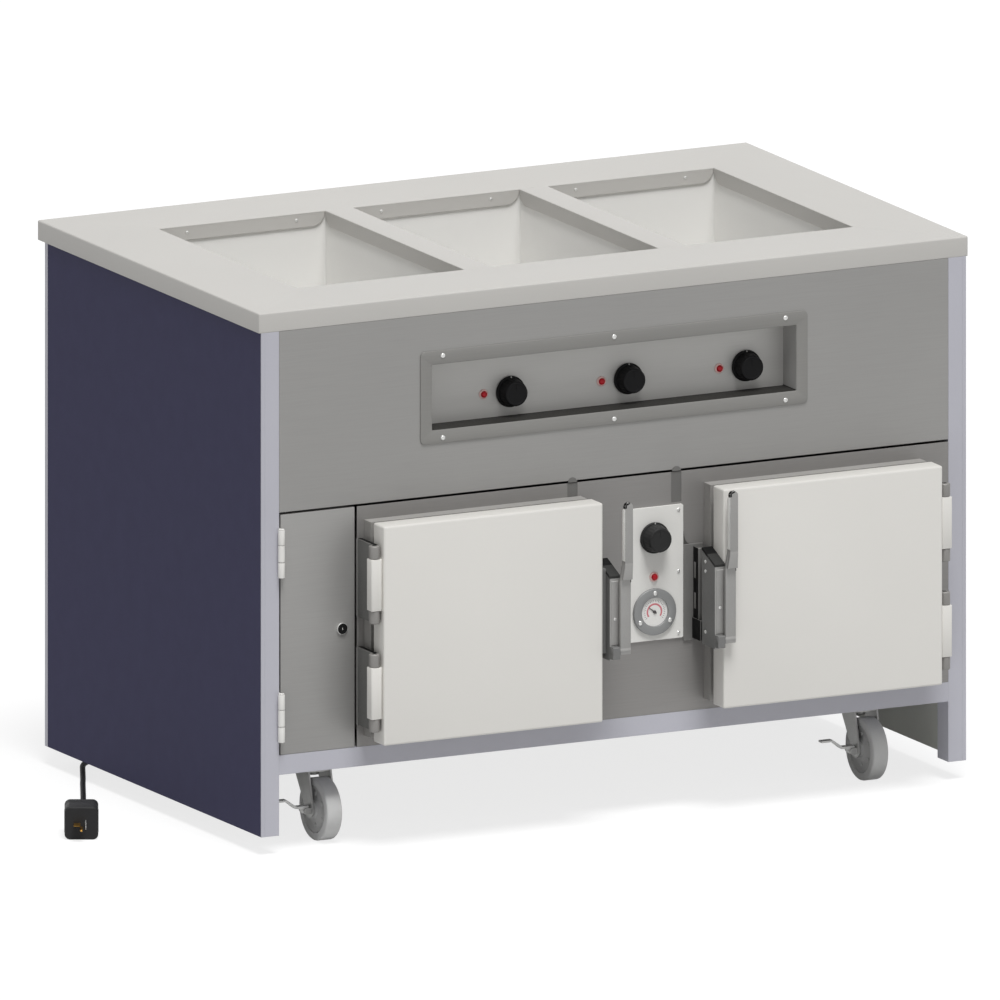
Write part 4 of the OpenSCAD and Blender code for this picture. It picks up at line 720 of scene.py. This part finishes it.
for x in (-306.7, 0, 306.7):
    for z in (-67.2, 67.2):
        screw(x, -2, BEZEL_Z + z)
for x in (-44, 44):
    for z in (-100.5, 0, 100.5):
        screw(PLATE_X + x, -PLATE_T, PLATE_Z + z, 3)
for a in (90, 210, 330):
    turn = math.radians(a)
    screw(PLATE_X + GAUGE_SCREW_R * math.cos(turn), -8, GAUGE_Z + GAUGE_SCREW_R * math.sin(turn))
screws.done("panel_screw_heads", "counter", "screw", "panel_screws", 30)


# Cabinet doors, hinges, gaskets, latches and handles

DOOR_W, DOOR_H, DOOR_LOW, DOOR_FRONT, DOOR_BACK = 392, 358, 176.8, -75, -38
DOOR_X = {"left": -449.1, "right": 159}
AXIS_X = {"left": -459.6, "right": 561.5}
HINGE_Z, HINGE_Y = (262.3, 439.3), -61
LATCH_X = {"left": -47.1, "right": 141}
PIN_Y, PIN_Z = -85, 293.8
INWARD = {"left": 1, "right": -1}

for side in ("left", "right"):
    body = "cabinet_door_" + side
    mid_x, mid_z = DOOR_X[side] + DOOR_W / 2, DOOR_LOW + DOOR_H / 2
    d = Piece(door_skin, steel_in, door_top_shaded)
    d.plate(at(mid_x, 0, mid_z), "y", DOOR_W, DOOR_H, 3,
            [(1, DOOR_BACK), (0.3, DOOR_BACK - 0.3), (0, DOOR_BACK - 1), (0, DOOR_FRONT + 3.2),
             (0.25, DOOR_FRONT + 1.9), (0.95, DOOR_FRONT + 0.9), (1.9, DOOR_FRONT + 0.25),
             (3.2, DOOR_FRONT)], 0, 5)
    # Faces within the top 2 mm take the darker copy: painted shade on the top.
    d.m = [2 if min(d.v[i].z for i in f) > (DOOR_LOW + DOOR_H - 2) * MM else 0 for f in d.f]
    d.plate(at(mid_x, 0, mid_z), "y", DOOR_W - 70, DOOR_H - 70, 12,
            [(0, DOOR_BACK + 0.01 - 0.5), (0, DOOR_BACK + 1), (2, DOOR_BACK + 3.4), (5, DOOR_BACK + 4)], 1, 6)
    s = INWARD[side]
    barrel = [(0.7, -42), (0.2, -41.8), (0, -41.3), (0, 41.3), (0.2, 41.8), (0.7, 42)]
    x0, x1 = sorted((AXIS_X[side], AXIS_X[side] + s * 12))
    for z in HINGE_Z:
        d.plate(at(AXIS_X[side], HINGE_Y, z), "z", 19, 19, 3, barrel, 0, 5)
        d.box((x0, HINGE_Y - 6, z - 41.6), (x1, HINGE_Y + 6, z + 41.6))
    d.done("door_shell_" + side, body, "door_skin", side + "_door", 32)

    g = Piece(gasket_rubber)
    y0, y1 = DOOR_BACK, -23.3
    g.plate(at(mid_x, 0, mid_z), "y", DOOR_W - 16, DOOR_H - 16, 13,
            [(1, y0), (0.2, y0 + 1.5), (1.8, y0 + 3.6), (1.9, y0 + 5), (0.1, y0 + 7.2), (0, y0 + 9.8),
             (1, y0 + 12.2), (3.4, y1 - 0.3), (5.8, y1), (8.6, y1 - 0.3), (11, y0 + 12.2), (12, y0 + 9.8),
             (11.9, y0 + 7.2), (10.1, y0 + 5), (10.2, y0 + 3.6), (11.8, y0 + 1.5), (11, y0)],
            0, 6, OPEN, True)
    g.done("door_seal_" + side, body, "gasket", side + "_gasket", 50)

    x = LATCH_X[side]
    k = Piece(latch_grey, latch_side, black, bright, latch_black)
    case = [
        (-79, 277.6), (-78.2, 276.8), (-33.6, 276.8), (-33, 277.4), (-33, 431.8), (-78.2, 412.2), (-79, 411.2)
    ]
    cap = [(-32.8, 431), (-32.8, 434), (-34.4, 434.9), (-52, 427.2), (-52, 422.6)]
    slope = [(-52.2, 422.5), (-52.2, 427.1), (-78, 415.8), (-79.2, 414.6), (-79.2, 410.8)]
    face = [(-79, 301), (-79.9, 302), (-79.9, 405.6), (-79, 406.2), (-78, 406), (-78, 301)]
    boss = [(-78.9, 280), (-90, 280), (-91, 281), (-91, 298.8), (-90, 299.8), (-78.9, 299.8)]
    k.slab("x", x, x + 18, case, 1, 0)
    k.slab("x", x - 0.2, x + 18.2, cap, 2, 2)
    k.slab("x", x - 0.2, x + 18.2, slope, 4, 4)
    k.slab("x", x + 2.5, x + 15.5, face, 0, 0)
    k.slab("x", x + 0.2, x + 12.7, boss, 1, 1)
    k.lathe(at(x, PIN_Y, PIN_Z), "x", [(2.9, 1), (2.9, 31), (2.4, 32), (0.4, 32.1)], 24, 1)
    k.lathe(at(x, PIN_Y, PIN_Z), "x", [(4.2, -0.8), (4.6, -0.3), (4.6, 0.3), (0.4, 0.3)], 24, 1)
    side_screw = [(2.9, 0.3), (2.9, -0.6), (2.2, -1.2), (1.2, -1.3), (1.1, -0.6), (0.3, -0.6)]
    for z in (413.8, 398.1, 299.1):
        k.lathe(at(x, -46.3, z), "x", side_screw, 20, 3)
    front_screw = [(2.4, 0.3), (2.4, -0.5), (1.7, -1), (0.9, -1.1), (0.8, -0.5), (0.2, -0.5)]
    k.lathe(at(x + 9, -79.7, 344), "y", front_screw, 20, 3)
    if side == "left":
        spacer = [(-65, 286.8), (-45, 286.8), (-45, 424.8), (-65, 424.8)]
        k.slab("x", DOOR_X[side] + DOOR_W - 0.2, x + 0.2, spacer, 1, 1)
    k.done("latch_body_" + side, body, "hinge_steel", side + "_latch", 30)

    h = Piece(latch_grey, black, grip_edge)
    sleeve = [(3.3, 13.1), (5.4, 13.1), (6, 13.7), (6, 31.4), (5.4, 32), (3.3, 32)]
    h.lathe(at(x, PIN_Y, PIN_Z), "x", sleeve, 32, 0, OPEN, True)
    arm = [(13.6, 287), (32, 287), (32.2, 408), (33, 432), (33, 440), (19, 440), (19, 434), (14, 408)]
    wide = [(15, 410), (32.2, 410), (33, 432), (33, 437), (19, 437), (19, 432)]
    h.slab("y", -90, -84.5, [(x + a, z) for a, z in arm])
    h.slab("y", -96, -89.8, [(x + a, z) for a, z in wide])
    tip_z, tip_r = 528.8, 7
    turns = [math.radians(a) for a in range(0, 181, 15)]
    tip = [(x + 26 + tip_r * math.cos(a), tip_z + tip_r * math.sin(a)) for a in turns]
    h.slab("y", -96, -90.2, [(x + 19, 436.8), (x + 33, 436.8)] + tip)
    # A thin near-white strip on the grip's left face: painted highlight.
    highlight_strip = [(-95.7, 440), (-87, 440), (-86, 441), (-86, 522), (-88, 525), (-95.7, 526)]
    h.slab("x", x + 18.6, x + 19.6, highlight_strip, 2, 2)
    hook = [(18.7, 526.5), (22, 526.5), (22, 531.4), (28, 534), (28, 536), (22, 535.2), (19, 531)]
    h.slab("y", -96.3, -89, [(x + a, z) for a, z in hook], 1, 1)
    h.slab("y", -90.3, -86, [(x + 31, 404), (x + 32.6, 404), (x + 32.6, 409), (x + 31, 409)], 1, 1)
    h.done("latch_handle_" + side + "_steel", "latch_handle_" + side, "hinge_steel", side + "_handle",
           30, 0.5)

b = Piece(hinge_grey, hinge_dark, plate_pale, black)
for side in ("left", "right"):
    a, s = AXIS_X[side], INWARD[side]
    for mid in HINGE_Z:
        low, high = mid - 63.5, mid + 63.5
        b.box((min(a - 2 * s, a + 8 * s), -3, low), (max(a - 2 * s, a + 8 * s), 0, high), 1)
        b.box((min(a, a + 8 * s), -47.7, low), (max(a, a + 8 * s), -3, high), 1)
        for z0, z1 in ((low, low + 21.2), (high - 21.2, high)):
            b.box((min(a, a + 8 * s), HINGE_Y, z0), (max(a, a + 8 * s), -47.7, z1), 1)
            b.box((min(a, a + 8 * s) + 0.2, -60, z1 - 0.1), (max(a, a + 8 * s) - 0.2, -1, z1 + 0.5), 3)
            b.lathe(at(a, HINGE_Y, 0), "z", [(8, z0), (9, z0 + 1), (9, z1 - 1), (8, z1)], 40, 0)
            b.lathe(at(a, HINGE_Y, 0), "z", [(4, z0 - 0.4), (4, z1 + 0.4)], 24, 3)
            # A thin black strip on each arm beside its knuckle: painted shade in the gap between arm and
            # knuckle.
            b.box((a - 0.4 * s - 0.3, -54, z0 + 2), (a - 0.4 * s + 0.3, -50, z1 - 1.5), 3)
        b.lathe(at(a, HINGE_Y, 0), "z", [(4, low + 1), (4, high - 1)], 24, 0)
BARREL_X, BARREL_Y, BARREL_THIRD = -597.8, -5.8, 80 / 3
for mid in (223.8, 492.8):
    for s in (-1, 1):
        z0, z1 = sorted((mid + s * 40, mid + s * (BARREL_THIRD / 2 + SEAT)))
        knuckle = [(4.9, z0), (5.5, z0 + 0.6), (5.5, z1 - 0.6), (4.9, z1)]
        b.lathe(at(BARREL_X, BARREL_Y, 0), "z", knuckle, 32, 2)
        b.box((-599.2, BARREL_Y, z0 + 0.2), (-598, 0.4, z1 - 0.2), 2)
    b.lathe(at(BARREL_X, BARREL_Y, 0), "z", [(2.6, mid - 39), (2.6, mid + 39)], 20, 0)
    b.box((-599.2, 0.4, mid - 40), (-598, 17, mid + 40), 2)
b.done("hinge_plates", "counter", "hinge_steel", "hinge_brackets", 32, 0.4)

channel = Piece(channel_grey)
for x, low in ((-74, 530.1), (112, 504.8)):
    channel.box((x - 8.9, 0.7, low + 0.2), (x + 8.9, 1.45, 554.6))
    turns = [math.radians(a) for a in range(0, 181, 20)]
    channel.slab("y", -0.9, 0.2, [(x + 8 * math.cos(a), 556 + 8 * math.sin(a)) for a in turns])
channel.done("facia_channels", "counter", "strike", (), 30)

st = Piece(strike_grey, black, strike_dark)
for side, foot in (("left", -59.1), ("right", 123.5)):
    x = LATCH_X[side]
    foot_edge = [(0, 0), (0, -2.4), (0.6, -3)]
    st.plate(at((foot + x + 18) / 2, 0, 355.8), "y", x + 18 - foot, 158, 2, foot_edge, 0, 4)
    st.slab("x", x, x + 14, [(-21, 300), (0, 300), (0, 430.8), (-20, 430.8), (-21, 429.8)], 1, 0)
    block = [(-32.5, 282), (-31.5, 280.8), (0, 280.8), (0, 314.8), (-31.5, 314.8), (-32.5, 313.8)]
    st.slab("x", x - 2, x + 14, block, 1, 1)
    for z in (330, 380):
        st.slab("x", x - 0.6, x + 0.2, [(-12, z), (-6, z), (-6, z + 26), (-12, z + 26)], 0, 0)
gusset = [(124, 434.6), (135, 434.6), (131, 437.5), (128, 442), (126, 448), (124.8, 457), (124, 457)]
st.slab("y", -1.5, 0, gusset, 2, 2)
spans = [[st.v[i].z for i in f] for f in st.f]
st.m = [2 if m == 0 and max(z) - min(z) < 0.1 * MM else m for m, z in zip(st.m, spans)]
st.done("strike_blocks", "counter", "strike", "latch_strikes", 32, 0.4)


# Service door and lock

a = Piece(steel_door, plate_pale)
x0, x1, z0, z1 = -596.4, -463.6, 162.1, 554.8
a.plate(at((x0 + x1) / 2, 0, (z0 + z1) / 2), "y", x1 - x0, z1 - z0, 1.6,
        [(1.5, 1.5), (1.5, 18), (0, 18), (0, 1.1), (0.3, 0.35), (1.1, 0)], 0, 5)
for mid in (223.8, 492.8):
    z0, z1 = mid - BARREL_THIRD / 2, mid + BARREL_THIRD / 2
    a.lathe(at(BARREL_X, BARREL_Y, 0), "z", [(4.9, z0), (5.5, z0 + 0.6), (5.5, z1 - 0.6), (4.9, z1)], 32, 1)
    a.box((-597.6, BARREL_Y, z0), (-596.4, 0.4, z1), 1)
    a.box((-597.6, 0.4, mid - 40), (-596.4, 17, mid + 40), 1)
a.done("service_panel", "service_door", "stainless", "access_door", 32)

k = Piece(black, bright)
c = at(-486.6, 0, 358.3)
k.lathe(c, "y", [(8, -0.3), (9.5, -0.3), (9.5, -2.2), (9.2, -2.8), (8.8, -3), (8.6, -2.6)], 40, 1, OPEN, True)
k.lathe(c, "y", [(8.6, -0.3), (8.6, -2.5), (8.1, -3.1), (2.6, -3.2), (2.4, -2.4), (0.3, -2.4)], 40, 0)
k.slab("y", -2.6, -2.35, [(-487.1, 356.4), (-486.1, 356.4), (-486.1, 360.2), (-487.1, 360.2)], 1, 1)
k.lathe(c, "y", [(6, -0.4), (6, 21), (0.5, 21)], 32, 1)
cam = [(-491, 324.4), (-482.2, 324.4), (-481.6, 326), (-481.6, 361), (-491.6, 361), (-491.6, 326)]
k.slab("y", 18.7, 21, cam, 1, 1)
k.done("lock_cylinder", "service_lock", "lock", "access_lock", 30)


# Wheels

WHEEL_R, WHEEL_X, TRAIL = 50.8, 489, 28
CASTER_Y = {"front": 98, "rear": 645}
SHOULDER = [(37.4, 10.4), (39, 13.6), (47.8, 13.6), (49.4, 13.1), (50.4, 12), (50.8, 10.4)]
TREAD = [(r, -h) for r, h in SHOULDER] + [(WHEEL_R, 0)] + [(r, h) for r, h in reversed(SHOULDER)]
HUB = [
    (6.4, 17.4), (12, 17.4), (13.6, 16.6), (14.2, 12.6), (20, 9.8), (31, 9.4), (35, 11.2), (37.4, 11.7),
    (37.6, 2), (6.4, 2),
]
BOLT, BOLT_R = [(3.4, 9.3), (3.4, 10.4), (2.8, 10.9), (0.4, 10.9)], 25.6

for side, cx in (("left", -WHEEL_X), ("right", WHEEL_X)):
    for end, cy in CASTER_Y.items():
        w = Piece(tyre, wheel_face)
        c = at(cx, cy - TRAIL, WHEEL_R)
        w.lathe(c, "x", TREAD, 96, 0, OPEN, True)
        for s in (-1, 1):
            w.lathe(c, "x", [(r, s * h) for r, h in HUB], 64, 1, OPEN, True)
            for i in range(6):
                t = math.radians(60 * i + 30)
                bolt_at = c + MM * Vector((0, BOLT_R * math.cos(t), BOLT_R * math.sin(t)))
                w.lathe(bolt_at, "x", [(r, s * h) for r, h in BOLT], 16, 1)
        place = end + "_" + side
        w.done("wheel_tyre_" + place, "caster_wheel_" + place, "tyre", "wheel_" + place, 35)


# Floor, world and lamps

def seen_directly(n):
    """1 for rays from the camera, mirrored and refracted ones included, which see a white background."""
    rays = n.new("LightPath").outputs
    seen = n.new("Math", {0: rays["Is Camera Ray"], 1: rays["Is Glossy Ray"]}, operation="MAXIMUM").outputs[0]
    return n.new("Math", {0: seen, 1: rays["Is Transmission Ray"]}, operation="MAXIMUM").outputs[0]


def backdrop_material():
    material = bpy.data.materials.new("floor")
    material.use_nodes = True
    n = Nodes(material.node_tree)
    seen = seen_directly(n)
    plain = n.new("BsdfDiffuse", {"Color": (0.62, 0.62, 0.62, 1)}).outputs[0]
    dim = n.new("BsdfDiffuse", {"Color": (0.26, 0.26, 0.26, 1)}).outputs[0]
    glow = n.new("Emission", {"Color": (1, 1, 1, 1), "Strength": 0.78}).outputs[0]
    shown = n.new("AddShader", {0: dim, 1: glow}).outputs[0]
    n.new("OutputMaterial", {"Surface": n.new("MixShader", {0: seen, 1: plain, 2: shown}).outputs[0]})
    return material


floor_mesh = bpy.data.meshes.new("floor")
floor_mesh.from_pydata([(-14, -14, 0), (14, -14, 0), (14, 14, 0), (-14, 14, 0)], [], [(0, 1, 2, 3)])
floor_mesh.materials.append(backdrop_material())
floor = bpy.data.objects.new("floor", floor_mesh)
bpy.context.scene.collection.objects.link(floor)

world = bpy.data.worlds.new("studio")
bpy.context.scene.world = world
world.use_nodes = True
w = Nodes(world.node_tree)
seen = seen_directly(w)
light = w.new("Background", {"Color": (1, 1, 1, 1), "Strength": 0.27}).outputs[0]
white = w.new("Background", {"Color": (1, 1, 1, 1), "Strength": 1.0}).outputs[0]
w.new("OutputWorld", {"Surface": w.new("MixShader", {0: seen, 1: light, 2: white}).outputs[0]})

sun = bpy.data.objects.new("key", bpy.data.lights.new("key", "SUN"))
bpy.context.scene.collection.objects.link(sun)
sun.data.energy = 2.73
sun.data.angle = math.radians(24)
sun.rotation_mode = "QUATERNION"
sun.rotation_quaternion = (-Vector((-0.067, -0.389, 1))).to_track_quat("-Z", "Y")
